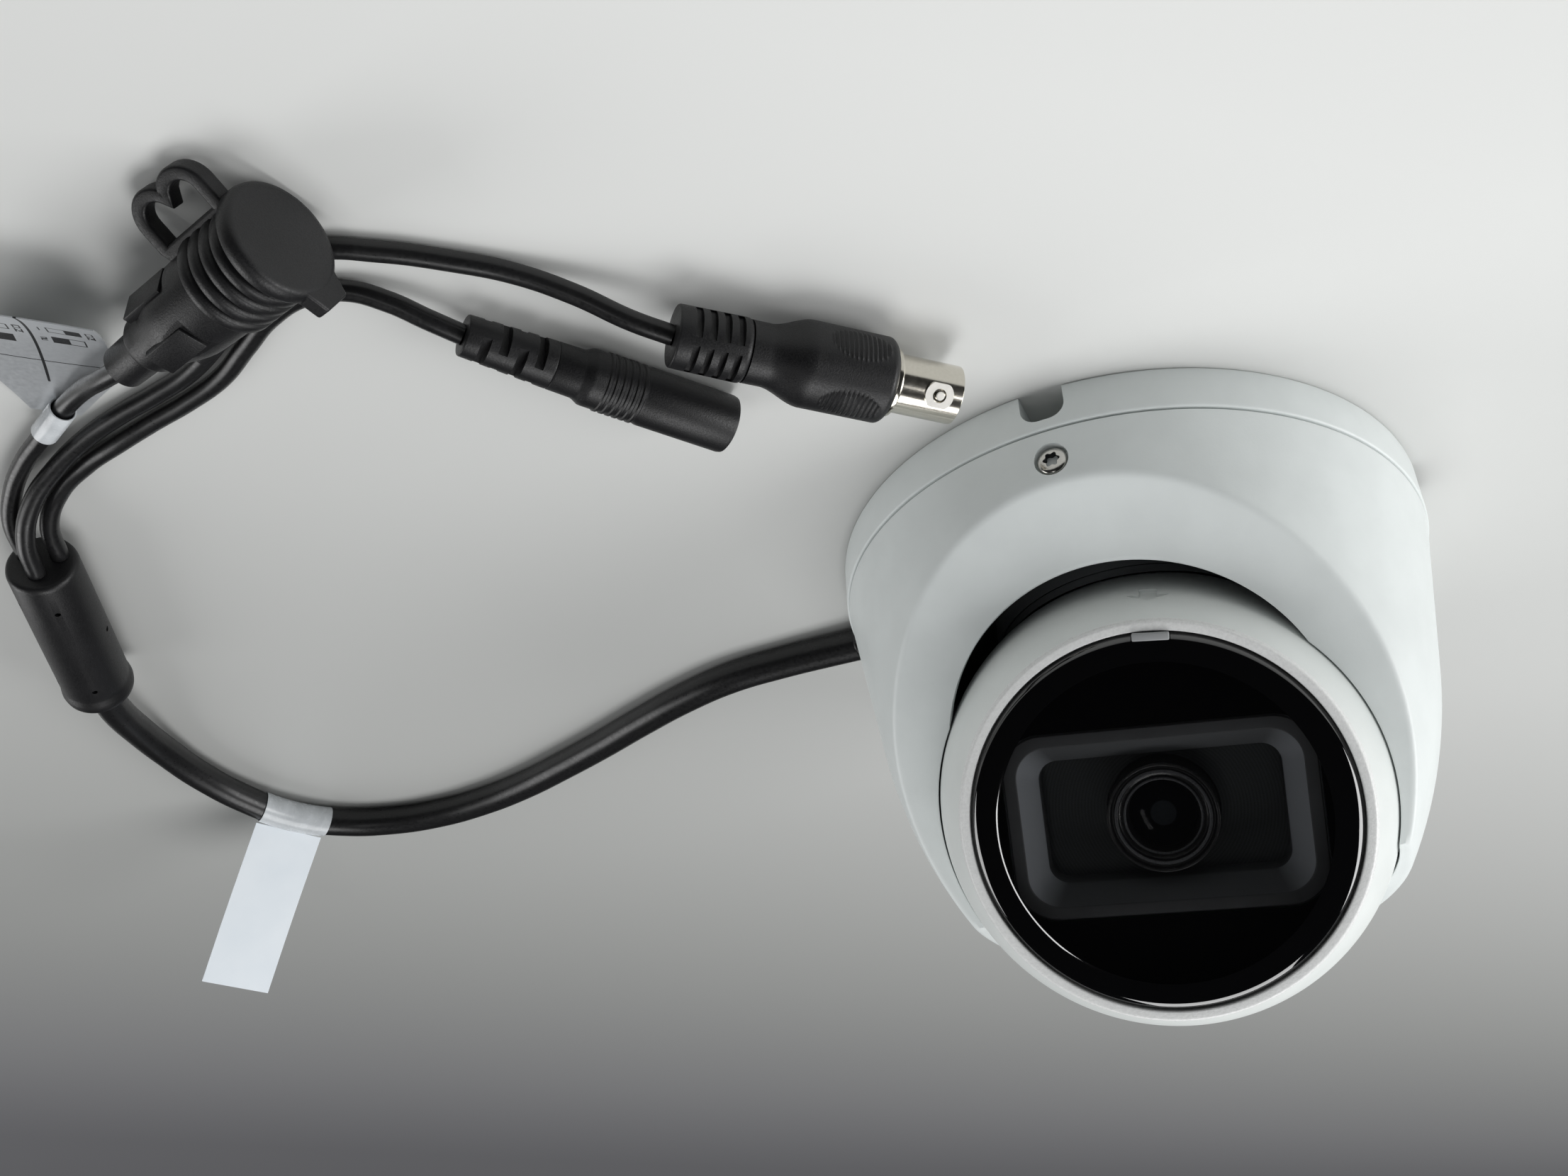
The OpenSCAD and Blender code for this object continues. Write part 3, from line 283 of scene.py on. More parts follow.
def block(name, size, middle, edge=0.0, steps=2):
    """Cube of a size in mm round its middle, its edges bevelled."""
    bpy.ops.mesh.primitive_cube_add(size=1, location=Vector(middle) * MM, scale=Vector(size) * MM)
    piece = named(name)
    bpy.ops.object.transform_apply()
    if edge:
        bevelled(piece, edge, steps)
    return piece


def rod(name, radius, length, foot=(0, 0, 0), count=48):
    """Cylinder that stands on its foot, in mm."""
    bpy.ops.mesh.primitive_cylinder_add(vertices=count, radius=radius * MM, depth=length * MM,
                                        location=(Vector(foot) + Vector((0, 0, length / 2))) * MM)
    piece = named(name)
    bpy.ops.object.transform_apply()
    return piece


def apply(piece, kind, **settings):
    """Modifier added and applied."""
    select_only(piece)
    step = piece.modifiers.new(kind.lower(), kind)
    for key, value in settings.items():
        setattr(step, key, value)
    bpy.ops.object.modifier_apply(modifier=step.name)


def bevelled(piece, width, steps=2, angle=35):
    apply(piece, "BEVEL", width=width * MM, segments=steps, limit_method="ANGLE", angle_limit=radians(angle),
          use_clamp_overlap=True)
    return piece


def joined(piece, *others):
    """The others become part of the piece's mesh."""
    select_only(piece)
    for other in others:
        other.select_set(True)
    bpy.ops.object.join()
    return piece


def cut(piece, *tools):
    """The tools' shapes taken out of the piece."""
    tool = joined(tools[0], *tools[1:]) if len(tools) > 1 else tools[0]
    apply(piece, "BOOLEAN", operation="DIFFERENCE", solver="EXACT", object=tool)
    bpy.data.objects.remove(tool)
    return tidy(piece)


def moved(piece, matrix):
    """The piece's mesh moved, its object left at the origin."""
    select_only(piece)
    piece.matrix_world = matrix
    bpy.ops.object.transform_apply()
    return piece


def spin(angle, axis="Z"):
    return Matrix.Rotation(angle, 4, axis)


def shift(x, y, z):
    return Matrix.Translation((x * MM, y * MM, z * MM))


def angles(count, span=2 * pi, more=0):
    """Even steps of an angle, a whole turn unless a span is given."""
    return [span * k / count for k in range(count + more)]


def between(a, b, count):
    """Even steps from a to b, both included."""
    return [a + (b - a) * k / count for k in range(count + 1)]


def dressed(piece, finish, body, slot, *nodes):
    """Finish and body of a piece, and the solids that it stands for; the slot argument is not used."""
    piece.data.materials.clear()
    piece.data.materials.append(finish)
    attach(piece, body)
    if nodes:
        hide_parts(*nodes)
    return piece


def second_finish(piece, finish, chosen):
    """Another finish on those faces of a piece that are chosen."""
    piece.data.materials.append(finish)
    for face in piece.data.polygons:
        if chosen(face):
            face.material_index = 1


def from_axis(face):
    """How far a face's middle lies from the Z axis, in metres."""
    return hypot(face.center.x, face.center.y)


def spread(line, count, skip=0.0, stop=0.0):
    """Count points evenly along a line of points, from skip mm after its start to stop mm before its end."""
    far = [0.0]
    for a, b in zip(line, line[1:]):
        far.append(far[-1] + hypot(b[0] - a[0], b[1] - a[1]))
    points = []
    k = 0
    for i in range(count):
        d = skip + (far[-1] - skip - stop) * i / max(count - 1, 1)
        while k < len(far) - 2 and far[k + 1] < d:
            k += 1
        t = (d - far[k]) / max(far[k + 1] - far[k], 1e-9)
        (x0, y0), (x1, y1) = line[k], line[k + 1]
        points.append((x0 + t * (x1 - x0), y0 + t * (y1 - y0)))
    return points


def line_length(line):
    return sum(hypot(b[0] - a[0], b[1] - a[1]) for a, b in zip(line, line[1:]))


def rounded_section(sides, corners, counts, corner_steps=5):
    """Closed section from sides that meet end to end; corners[i] rounds the end of side i."""
    n = len(sides)
    lengths = [line_length(side) for side in sides]
    cuts = [min(corners[i], 0.45 * lengths[i], 0.45 * lengths[(i + 1) % n]) for i in range(n)]
    points = []
    for i in range(n):
        side = spread(sides[i], counts[i], cuts[i - 1], cuts[i])
        points += side
        a, b, c = side[-1], sides[i][-1], spread(sides[(i + 1) % n], 2, cuts[i], 0)[0]
        for k in range(1, corner_steps):
            t = k / corner_steps
            points.append(tuple((1 - t) ** 2 * a[m] + 2 * t * (1 - t) * b[m] + t * t * c[m] for m in (0, 1)))
    return points


# ---------------------------------------------------------------- cords

def cord(name, route, diameter):
    """Curve through the route's points, in mm, with a round section."""
    line = bpy.data.curves.new(name, "CURVE")
    line.dimensions = "3D"
    line.bevel_depth = diameter / 2 * MM
    line.bevel_resolution = 6
    line.resolution_u = 10
    line.use_fill_caps = True
    spline = line.splines.new("BEZIER")
    spline.bezier_points.add(len(route) - 1)
    for knot, place in zip(spline.bezier_points, route):
        knot.co = Vector(place) * MM
        knot.handle_left_type = knot.handle_right_type = "AUTO"
    piece = bpy.data.objects.new(name, line)
    scene.collection.objects.link(piece)
    return piece


CABLE_D = 6.6
TAIL_D = 3.4
LEAD_D = 4.4
CABLE_EXIT = (55.85, 0, 3.95)
JUNCTION_P = (200.5, -62.6, 7.4)
POD_P = (123.5, -136.2, 9.6)
DC_P = (75.5, -115, 5.3)
BNC_P = (45, -102.4, 7.8)

MAIN_ROUTE = [CABLE_EXIT, (62, 0, 3.7), (74, 0, 3.4), (87, 0.5, 3.4), (100, 3.5, 3.4), (113, 8, 3.4),
              (126, 13, 3.4), (139, 17.5, 3.4), (152, 21.5, 3.4), (165, 24, 3.4), (178, 24.5, 3.4),
              (190, 22.5, 3.4), (201, 17, 3.7), (209, 8, 4.1), (213.5, -4, 3.7), (215, -17, 3.4),
              (213.5, -30, 3.7), (210, -42, 5), (205.5, -53, 6.6), JUNCTION_P]
VIDEO_ROUTE = [(177.5, -101.3, 9.8), (173, -108.5, 8.5), (166.5, -114, 6), (158, -117.5, 3.6), (149, -120, 2.2),
               (140, -121.7, 1.8), (131, -123, 1.8), (122, -124.8, 1.8), (113, -128.5, 1.8), (104.5, -133, 1.8),
               (96, -136.6, 1.8), (87, -137.2, 1.8), (78.5, -132.6, 1.8), (70.5, -126.5, 1.8), (63, -120.2, 2.2),
               (56, -113.6, 4), (49.8, -107.2, 6.6), BNC_P]
POWER_ROUTE = [(174.7, -99.7, 5.6), (170, -107, 4.8), (163, -111.8, 3.2), (154.5, -114.5, 2.2),
               (145.5, -116.4, 2.2), (136.5, -117.8, 1.8), (127.5, -119.2, 1.8), (118.5, -121.4, 1.8),
               (110, -125.4, 1.8), (102, -129, 1.8), (94.5, -130.2, 1.8), (88, -128.4, 2), (83, -124.3, 3),
               (79, -119.6, 4.4), DC_P]
SWITCH_ROUTE = [(179.9, -102.7, 5.6), (176, -110, 4.5), (170, -115.8, 3.3), (162.8, -120.4, 2.7),
                (154.5, -124.2, 2.6), (146, -127.9, 2.6), (138, -131.2, 4.4), (130.6, -134, 7.4), POD_P]
# The lead inside the housing, from the ball's gland to the bush in the base
LEAD_ROUTE = [(4.21, 33.9, 24.79), (4.53, 36.77, 22.56), (5, 39.4, 19), (5.4, 40.2, 14.5), (6, 38.6, 9.6),
              (8.2, 34.6, 6.6), (13, 28, 5.6), (20, 19, 5.6), (26, 10.5, 5.5), (31.5, 4, 5), (37.5, 0.8, 4.1),
              (44.36, 0, 3.95)]

main_cable = cord("main_cable_jacket", MAIN_ROUTE, CABLE_D)
video_tail = cord("video_tail_jacket", VIDEO_ROUTE, TAIL_D)
power_tail = cord("power_tail_jacket", POWER_ROUTE, TAIL_D)
switch_tail = cord("switch_tail_jacket", SWITCH_ROUTE, TAIL_D)
inner_lead = cord("inner_lead_jacket", LEAD_ROUTE, LEAD_D)
for piece, node in ((main_cable, "main_cable"), (video_tail, "tail_video"), (power_tail, "tail_power"),
                    (switch_tail, "tail_switch"), (inner_lead, "inner_lead")):
    dressed(piece, JACKET_PVC, "base", "cable_jacket", node)


# ---------------------------------------------------------------- base

def corner_section(points, corners, count=2):
    """Closed section with straight sides between corner points, each corner rounded."""
    sides = [[a, b] for a, b in zip(points, points[1:] + points[:1])]
    return rounded_section(sides, corners, [count] * len(sides), 4)


def prism(name, outline, height, foot=0.0):
    """Flat outline of (x, y) points in mm, extruded upwards: a disc laid on the outline."""
    bpy.ops.mesh.primitive_circle_add(vertices=len(outline), fill_type="NGON")
    piece = named(name)
    for corner, (x, y) in zip(piece.data.vertices, outline):
        corner.co = Vector((x, y, foot)) * MM
    bpy.ops.object.mode_set(mode="EDIT")
    bpy.ops.mesh.select_all(action="SELECT")
    bpy.ops.mesh.extrude_region_move(TRANSFORM_OT_translate={"value": (0, 0, height * MM)})
    bpy.ops.object.mode_set(mode="OBJECT")
    return tidy(piece)


def rounded_rect(length, width, r, steps=10):
    """Corner points of a rounded rectangle round the origin."""
    points = []
    for k, (x, y) in enumerate(((1, 1), (-1, 1), (-1, -1), (1, -1))):
        for i in range(steps + 1):
            a = pi / 2 * (k + i / steps)
            points.append((x * (length / 2 - r) + r * cos(a), y * (width / 2 - r) + r * sin(a)))
    return points


BASE_R, RIM_H, RIM_IN = 54.95, 8.4, 52.35
LOCK_R, LOCK_IN, LOCK_H = 50.3145, 47.7145, 18
LEDGE_R, LEDGE_H = 44.7145, 9.2
FLOOR_T, CABLE_HOLE_R = 3, 9
WALL_SCREW_R, WALL_SCREW_PLACE = 2.25, 36
# Width, height and corner of the notches in the rim
NOTCH = (7.7, 6.5, 3)
CABLE_NOTCH = (8.4, 7.6, 2.2)
# Lays a prism so that it runs outwards along +X, its outline upright
OUTWARDS = Matrix(((0, 0, 1, 0), (1, 0, 0, 0), (0, 1, 0, 0), (0, 0, 0, 1)))

base = turned_ring("base_casting", 192, corner_section(
    [(BASE_R, 0), (BASE_R, RIM_H), (RIM_IN, RIM_H), (RIM_IN, FLOOR_T), (LOCK_R, FLOOR_T), (LOCK_R, LOCK_H),
     (LOCK_IN, LOCK_H), (LOCK_IN, LEDGE_H), (LEDGE_R, LEDGE_H), (LEDGE_R, FLOOR_T), (CABLE_HOLE_R, FLOOR_T),
     (CABLE_HOLE_R, 0)], [0.5] + [0.3] * 10 + [0.6]))


def notch_tool(size, start, end, turn):
    """U-shaped cutter that stands on the table and runs outwards."""
    width, height, r = size
    tool = prism("notch_tool", rounded_rect(width, 2 * height, r, 8), end - start)
    return moved(tool, spin(radians(turn)) @ shift(start, 0, 0) @ OUTWARDS)


# The plain notches go through the rim and the lock ring, the cable's notch on to its channel in the floor
tools = [notch_tool(NOTCH, LOCK_IN - 1.7, BASE_R + 2, 180), notch_tool(NOTCH, LOCK_IN - 1.7, BASE_R + 2, 270),
         notch_tool(CABLE_NOTCH, LEDGE_R - 1, BASE_R + 2, 0), block("channel_tool", (14.7, 14, 8), (37.36, 3, 1))]
for turn in (radians(100), radians(220), radians(340)):
    foot = (WALL_SCREW_PLACE * cos(turn), WALL_SCREW_PLACE * sin(turn), -2)
    tools.append(rod("screw_hole_tool", WALL_SCREW_R, 8, foot, 32))
for tool in tools:
    cut(base, tool)
dressed(base, WHITE_COAT, "base", "white_paint", "base_plate")

# Rubber bush in the +X notch, round the cable
bush = prism("cable_bush", rounded_rect(8.1, 7.1, 2.1, 8), 12.2)
moved(bush, shift(44.6, 0, 3.87) @ OUTWARDS)
bevelled(bush, 0.4, 3)
tidy(bush)
dressed(bush, MOULDED_PVC, "base", "black_rubber", "cable_grommet")


# ---------------------------------------------------------------- cover

SEAM_R, SEAM_Z, DRAFT = 54.6, 8.75, 0.166
SHOULDER_Z, DOME_R = 38, 90
SHOULDER_R = SEAM_R - DRAFT * (SHOULDER_Z - SEAM_Z)
SLOPE = atan2(DRAFT, 1)
DOME_C = (SHOULDER_R - DOME_R * cos(SLOPE), SHOULDER_Z - DOME_R * sin(SLOPE))
TOP_Z, COVER_T = 70.5, 2.4
# Hollow sloping face: its middle lies a run and a rise away from its foot on the front wall
FACE_R, FACE_TILT = 350, radians(44.7)
FACE_FOOT_Z, FACE_RUN, FACE_RISE = 18.4, 26.5, 23.6
FACE_MID = (FACE_RUN - SEAM_R + DRAFT * (FACE_FOOT_Z - SEAM_Z), FACE_FOOT_Z + FACE_RISE)
FACE_C = (FACE_MID[0] - FACE_R * sin(FACE_TILT), FACE_MID[1] + FACE_R * cos(FACE_TILT))
BALL_Y, BALL_Z, OPENING_R = -3, 53.5, 39.62
COVER_STEPS = 256


def wall_r(z, t=0):
    """Radius of the cover's wall at a height, drawn in by t."""
    if z <= SHOULDER_Z:
        return SEAM_R - DRAFT * (z - SEAM_Z) - t / cos(SLOPE)
    return DOME_C[0] + sqrt((DOME_R - t) ** 2 - (z - DOME_C[1]) ** 2)


def upper_z(y, t=0):
    """Height of the sloping face or the flat top over y, drawn in by t."""
    return min(FACE_C[1] - sqrt((FACE_R + t) ** 2 - (y - FACE_C[0]) ** 2), TOP_Z - t)


def crossing(f, low, high):
    """Where f changes from negative to positive."""
    for _ in range(48):
        middle = (low + high) / 2
        if f(middle) < 0:
            low = middle
        else:
            high = middle
    return (low + high) / 2


def cover_outline(i):
    """Section of the cover at one angle: wall, face, lip of the ball's opening, underside and inner wall."""
    a = 2 * pi * i / COVER_STEPS
    s = sin(a)

    def opening_r(z):
        return BALL_Y * s + sqrt(max(BALL_Y ** 2 * (s * s - 1) + OPENING_R ** 2 - (z - BALL_Z) ** 2, 0))

    def from_ball(r):
        return (r * cos(a)) ** 2 + (r * s - BALL_Y) ** 2 + (upper_z(r * s) - BALL_Z) ** 2 - OPENING_R ** 2

    def ramp(z0, z1, count, r):
        return [(r(z), z) for z in between(z0, z1, count)]

    edge_z = crossing(lambda z: z - upper_z(wall_r(z) * s), SEAM_Z, TOP_Z)
    edge_r = wall_r(edge_z)
    lip_r = crossing(from_ball, 5, edge_r)
    lip_z = upper_z(lip_r * s)
    under_z = crossing(lambda z: z - upper_z(opening_r(z) * s, COVER_T), lip_z - 9, lip_z)
    inner_z = crossing(lambda z: z - upper_z(wall_r(z, COVER_T) * s, COVER_T), SEAM_Z, TOP_Z - COVER_T)
    outer = ramp(SEAM_Z, edge_z, 60, wall_r)
    face = [(r, upper_z(r * s)) for r in between(edge_r, lip_r, 40)]
    lip = ramp(lip_z, under_z, 12, opening_r)
    under_r = opening_r(under_z)
    meet_r = wall_r(inner_z, COVER_T)
    if under_r < meet_r:
        under = [(r, upper_z(r * s, COVER_T)) for r in between(under_r, meet_r, 20)]
    else:
        under = [lip[-1], lip[-1]]
        inner_z = under_z
    inner = ramp(inner_z, SEAM_Z, 40, lambda z: max(wall_r(z, COVER_T), opening_r(z) if z > SHOULDER_Z else 0))
    foot = [inner[-1], outer[0]]
    section = rounded_section([outer, face, lip, under, inner, foot], [1.1, 0.3, 0.15, 0, 0.2, 0.3],
                              [26, 16, 6, 8, 12, 3])
    return [(r * cos(a), r * s, z) for r, z in section]


cover = ring("cover_casting", COVER_STEPS, cover_outline)
# Relief in the opening's front edge, its rim a little flared
RELIEF_R, RELIEF_RUN = 33.2, 11.6
relief = turned("relief_tool", 160, [(RELIEF_R, 4), (RELIEF_R, 8.1), (33.28, 8.5), (33.5, 8.8), (33.9, 9.1),
                                     (34.4, 9.3), (34.4, 30)])
cut(cover, moved(relief, shift(0, BALL_Y, BALL_Z) @ spin(FACE_TILT, "X") @ shift(0, -RELIEF_RUN, 0)))
LOCK_Z, LOCK_DEPTH, COUNTERBORE_R = 14, 1.4, 2.95
LOCK_WALL_R = SEAM_R - DRAFT * (LOCK_Z - SEAM_Z)
LOCK_AT = shift(0, LOCK_DEPTH - LOCK_WALL_R, LOCK_Z) @ spin(radians(90), "X")
cut(cover, moved(rod("counterbore_tool", COUNTERBORE_R, 6), LOCK_AT))
dressed(cover, WHITE_COAT, "head", "white_paint", "cover")

# Lock screw: low button head with a deep six-lobed socket
SOCKET_R, LOBE_H = 1.3, 0.19
head = turned("lock_screw_button", 64, [(1.5, -2.5), (1.7, -1.1), (1.7, -0.05), (2.2, -0.05), (2.62, 0.1),
                                        (2.65, 0.55), (2.5, 0.9), (2.2, 1.12), (1.7, 1.24)])
lobes = [((SOCKET_R + LOBE_H * cos(6 * t)) * cos(t), (SOCKET_R + LOBE_H * cos(6 * t)) * sin(t))
         for t in angles(72)]
cut(head, prism("socket_tool", lobes, 4, -1))
dressed(head, STAINLESS, "head", "stainless", "lock_screw")
# Painted shade: the faces inside the socket take the dark nylon
second_finish(head, DARK_NYLON_AND_SOCKET_SHADE, lambda face: from_axis(face) < 1.5 * MM and -1.5 * MM < face.center.z < 1.2 * MM)
moved(head, LOCK_AT)


# ---------------------------------------------------------------- ball

HEADING, LEAN, BALL_TURN = radians(-6.5), radians(52.3), radians(-5)
BALL_AT = shift(0, BALL_Y, BALL_Z) @ spin(HEADING) @ spin(LEAN, "X") @ spin(BALL_TURN)
BALL_R, SHELL_T = 39.3, 2.2
BEZEL_R, BEZEL_Z, BEZEL_FOOT_Z = 33.25, 21.4, 20.5
SEAT_R, LAND_R, LAND_Z, LAND_BACK_Z, SHELL_FOOT_Z = 31.65, 28.3, 18.7, 16.3, -2.3
WINDOW_R, WINDOW_Z = 31.5, 19.2


def ball_frame(tree, vector, place=True):
    """Points, or directions if place is False, in the ball's own frame, +Z along the lens."""
    inward = BALL_AT.inverted()
    return add_node(tree, "ShaderNodeMapping", {"Vector": vector, "Rotation": inward.to_euler(),
                    "Location": inward.translation if place else (0, 0, 0)}).outputs["Vector"]


def two_tone(tree, shader, value, low, high, dark, pale):
    """Base colour that goes from dark to pale while a value goes from low to high."""
    share = add_node(tree, "ShaderNodeMapRange", {"Value": value, "From Min": low, "From Max": high})
    tree.links.new(toned(tree, share.outputs["Result"], dark, pale), shader.inputs["Base Color"])


# The shield's bevel: the same rubber with painted light, paler than the rim as a painted sheen and palest on its two
# short sides, which face the side lamps
SHIELD_BEVEL_PAINTED_LIGHT, tree, shader, coords = new_material("silicone_rubber_painted_light")
turned_to = ball_frame(tree, add_node(tree, "ShaderNodeTexCoord").outputs["Normal"], False)
aside = add_node(tree, "ShaderNodeSeparateXYZ", {"Vector": turned_to}).outputs["X"]
side_light_share = add_node(tree, "ShaderNodeMath", {0: aside}, operation="ABSOLUTE").outputs["Value"]
two_tone(tree, shader, side_light_share, 0.1, 0.75, "#4A4C4E", "#808388")
set_shader(shader, roughness=0.7, ior=1.42)

# The lens plate: dark nylon with fine rings about the lens, left by its mould's lathe work
RING_PITCH = 0.55 * MM
RINGED_NYLON, tree, shader, coords = new_material("ringed_nylon")
rings = add_node(tree, "ShaderNodeTexWave", {"Vector": ball_frame(tree, coords), "Scale": 2 * pi / 20 / RING_PITCH},
                 wave_type="RINGS", rings_direction="Z")
two_tone(tree, shader, rings.outputs["Fac"], 0, 1, "#2B2F31", "#363B3D")
set_shader(shader, roughness=0.5, ior=1.53)

# Lens front: coated glass, near black, with the iris seen in its middle
LENS_GLASS, tree, shader, coords = new_material("coated_lens_glass")
flat = add_node(tree, "ShaderNodeVectorMath", {0: ball_frame(tree, coords), 1: (1, 1, 0)}, operation="MULTIPLY")
reach = add_node(tree, "ShaderNodeVectorMath", {0: flat.outputs["Vector"]}, operation="LENGTH")
two_tone(tree, shader, reach.outputs["Value"], 2.0 * MM, 2.25 * MM, "#25282B", "#040508")
set_shader(shader, roughness=0.05, ior=1.15)


def ball_side(radius, z0, z1, count=40):
    """Side of a ball of a radius from one height to another."""
    return [(sqrt(radius ** 2 - z * z), z) for z in between(z0, z1, count)]


shell_sides = [ball_side(BALL_R, SHELL_FOOT_Z, BEZEL_FOOT_Z), [(33.53, BEZEL_FOOT_Z), (BEZEL_R, BEZEL_Z)],
               [(BEZEL_R, BEZEL_Z), (SEAT_R, BEZEL_Z)], [(SEAT_R, BEZEL_Z), (SEAT_R, LAND_Z)],
               [(SEAT_R, LAND_Z), (LAND_R, LAND_Z)], [(LAND_R, LAND_Z), (LAND_R, LAND_BACK_Z)],
               [(LAND_R, LAND_BACK_Z), (33.33, LAND_BACK_Z)], ball_side(BALL_R - SHELL_T, LAND_BACK_Z, SHELL_FOOT_Z),
               [(37.03, SHELL_FOOT_Z), (39.23, SHELL_FOOT_Z)]]
shell = turned_ring("ball_front_casting", 224, rounded_section(
    shell_sides, [0.2, 0.55, 0.3, 0.1, 0.1, 0.1, 0.1, 0.2, 0.3], [30, 2, 3, 3, 3, 3, 3, 16, 2]))

# Small recessed arrow on the shell that points to the window's key
arrow = prism("arrow_tool", [(-1.5, -2), (1.5, -2), (1.5, 0), (3.6, 0), (0, 2.4), (-3.6, 0), (-1.5, 0)], 1.4, -0.6)
mark = Vector((-1.75, -36.87, 13.48))
out = mark.normalized()
side = Vector((0, 0, 1)).cross(out).normalized()
moved(arrow, Matrix.Translation(mark * MM) @ Matrix((side, out.cross(side), out)).transposed().to_4x4())
cut(shell, arrow)
dressed(shell, SHELL_COAT, "eyeball", "shell_white", "front_shell")
# The bezel takes the paler coat: painted light
second_finish(shell, BEZEL_COAT_PAINTED_LIGHT, lambda face: face.center.z > 20.35 * MM and face.center.length > 31.7 * MM)
moved(shell, BALL_AT)

# Window with a rounded front edge and a notch for the key
CROWN_R, CROWN_Z, ROUND_R = 26.7, 22.4, 1.9
edge = [(WINDOW_R, WINDOW_Z)]
edge += [(29.6 + ROUND_R * sin(t), 20.13 + ROUND_R * cos(t))
         for t in (radians(90 - 81.8 * k / 12) for k in range(13))]
edge += [(r, CROWN_Z - (r - CROWN_R) ** 2 / 14) for r in (27.7 - k / 8 for k in range(9))] + [(26.4, CROWN_Z)]
glass = turned("window_glass", 192, edge)
KEY_TURN = spin(radians(-3))
cut(glass, moved(block("key_notch_tool", (6.3, 5, 4), (0, -32.5, CROWN_Z)), KEY_TURN))
dressed(glass, WINDOW_GLASS, "eyeball", "window_black", "window")
second_finish(glass, WINDOW_EDGE, lambda face: from_axis(face) > CROWN_R * MM)
moved(glass, BALL_AT)

key = block("window_key", (6, 1.35, 1.1), (0, -30.75, 21.5), 0.25, 3)
moved(key, BALL_AT @ KEY_TURN)
tidy(key)
dressed(key, FROSTED, "eyeball", "frosted", "bezel_clip")

# Black print inside the window, open over the lens
SHIELD = (51.5, 32, 7)
PRINT_R = 31.2
disc = [(PRINT_R * cos(t), PRINT_R * sin(t)) for t in angles(160)]
print_ink = prism("window_print", disc, 0.04, WINDOW_Z + 0.02)
cut(print_ink, prism("print_hole_tool", rounded_rect(*SHIELD), 2, 18.5))
moved(print_ink, BALL_AT)
dressed(print_ink, WINDOW_INK, "eyeball", "window_black")

# Rubber shield between the window and the lens plate, its mouth bevelled
shield_loops = [(*SHIELD, 10.8), (*SHIELD, 18.3), (51, 31.5, 6.8, 18.85), (50.5, 31, 6.6, 19.1),
                (47.0, 27.6, 5.5, 19.1), (46.7, 27.3, 5.4, 19.04), (46.5, 27.1, 5.3, 18.9), (40.3, 21.5, 3.5, 15.1),
                (39.9, 21.1, 3.3, 14.8), (39.6, 20.8, 3.2, 10.8)]
loops = [[(x, y, z) for x, y in rounded_rect(length, width, r)] for length, width, r, z in shield_loops]
shield = ring("light_shield_rubber", len(loops[0]), lambda i: [loop[i] for loop in loops])
dressed(shield, SHIELD_RUBBER, "eyeball", "black_rubber", "light_shield")
# Painted light: the bevel's sloping faces take the paler rubber
second_finish(shield, SHIELD_BEVEL_PAINTED_LIGHT, lambda face: 0.3 < face.normal.z < 0.95 and face.center.z < 18.9 * MM)
moved(shield, BALL_AT)

# Lens front: threaded ring, stepped hood and a domed glass
lens_steps = [(9.2, 9.6), (9.2, 17.7), (8.75, 17.7), (8.45, 16.9), (8.1, 16.9), (8.0, 17.3), (7.45, 17.3),
              (7.3, 16.2), (6.7, 15.9), (6.55, 16.3), (6.15, 16.3), (5.85, 14.9), (5.7, 13.2), (5.0, 13.2),
              (5.0, 9.6)]
lens = turned_ring("lens_hood", 128, corner_section(lens_steps, [0.25] + [0.12] * 14))
stem = turned_ring("lens_thread", 96, corner_section([(6.0, 1.5), (6.0, 9.8), (5.0, 9.8), (5.0, 1.5)], [0.2] * 4))
joined(lens, stem)
dressed(lens, BLACK_ANODISE, "eyeball", "anodised", "lens_barrel")


def on_step(face):
    """Whether a face lies on top of one of the hood's two steps that carry the painted highlight."""
    far = from_axis(face) / MM
    return face.center.z > 16.1 * MM and face.normal.z > 0.3 and (7.4 < far < 8.06 or 6.1 < far < 6.6)


# Painted highlight on the two steps
second_finish(lens, STEP_PAINTED_HIGHLIGHT, on_step)
moved(lens, BALL_AT)

FRONT_R, FRONT_Z, FRONT_DOME = 5.65, 13.3, 0.7
dome = [(FRONT_R * cos(t), FRONT_Z + FRONT_DOME * sin(t)) for t in angles(12, pi / 2)]
front = turned("lens_front_glass", 96, [(FRONT_R, 13.1)] + dome + [(0.02, 14)])
moved(front, BALL_AT)
dressed(front, LENS_GLASS, "eyeball", "lens_coated", "lens_glass")


# ---------------------------------------------------------------- connectors

def along(point, turn):
    """Frame of a connector that lies level: +Z along it, +X down, from its cable end."""
    return Matrix.Translation(Vector(point) * MM) @ spin(radians(turn)) @ spin(radians(90), "Y")


def eased(a, b, t):
    """From a to b along a soft S."""
    t = min(max(t, 0), 1)
    return a + (b - a) * t * t * (3 - 2 * t)


# Moulded junction: straight body, bulged collar at the cable's end, five core-pin holes
JUNCTION_AT = along(JUNCTION_P, 238.9)
collar = [(3.4, 0), (4.8, 0.1), (6.2, 0.6), (6.9, 1.5), (7.05, 2.5), (6.95, 3.6), (6.7, 4.6), (6.62, 5.4),
          (6.75, 6.4)]
junction = turned("junction_moulding", 96, collar + [(6.65, 25), (6.5, 43.8), (6.3, 44.5), (5.9, 44.9), (5.4, 45)])
cut(junction, *[moved(rod("pin_tool", 0.55, 4, count=16),
                      spin(radians(turn)) @ shift(5.4, 0, z) @ spin(radians(90), "Y"))
                for turn, z in ((200, 9), (200, 37), (128, 9), (128, 37), (270, 23))])
moved(junction, JUNCTION_AT)
dressed(junction, MOULDED_PVC, "base", "black_rubber", "junction")

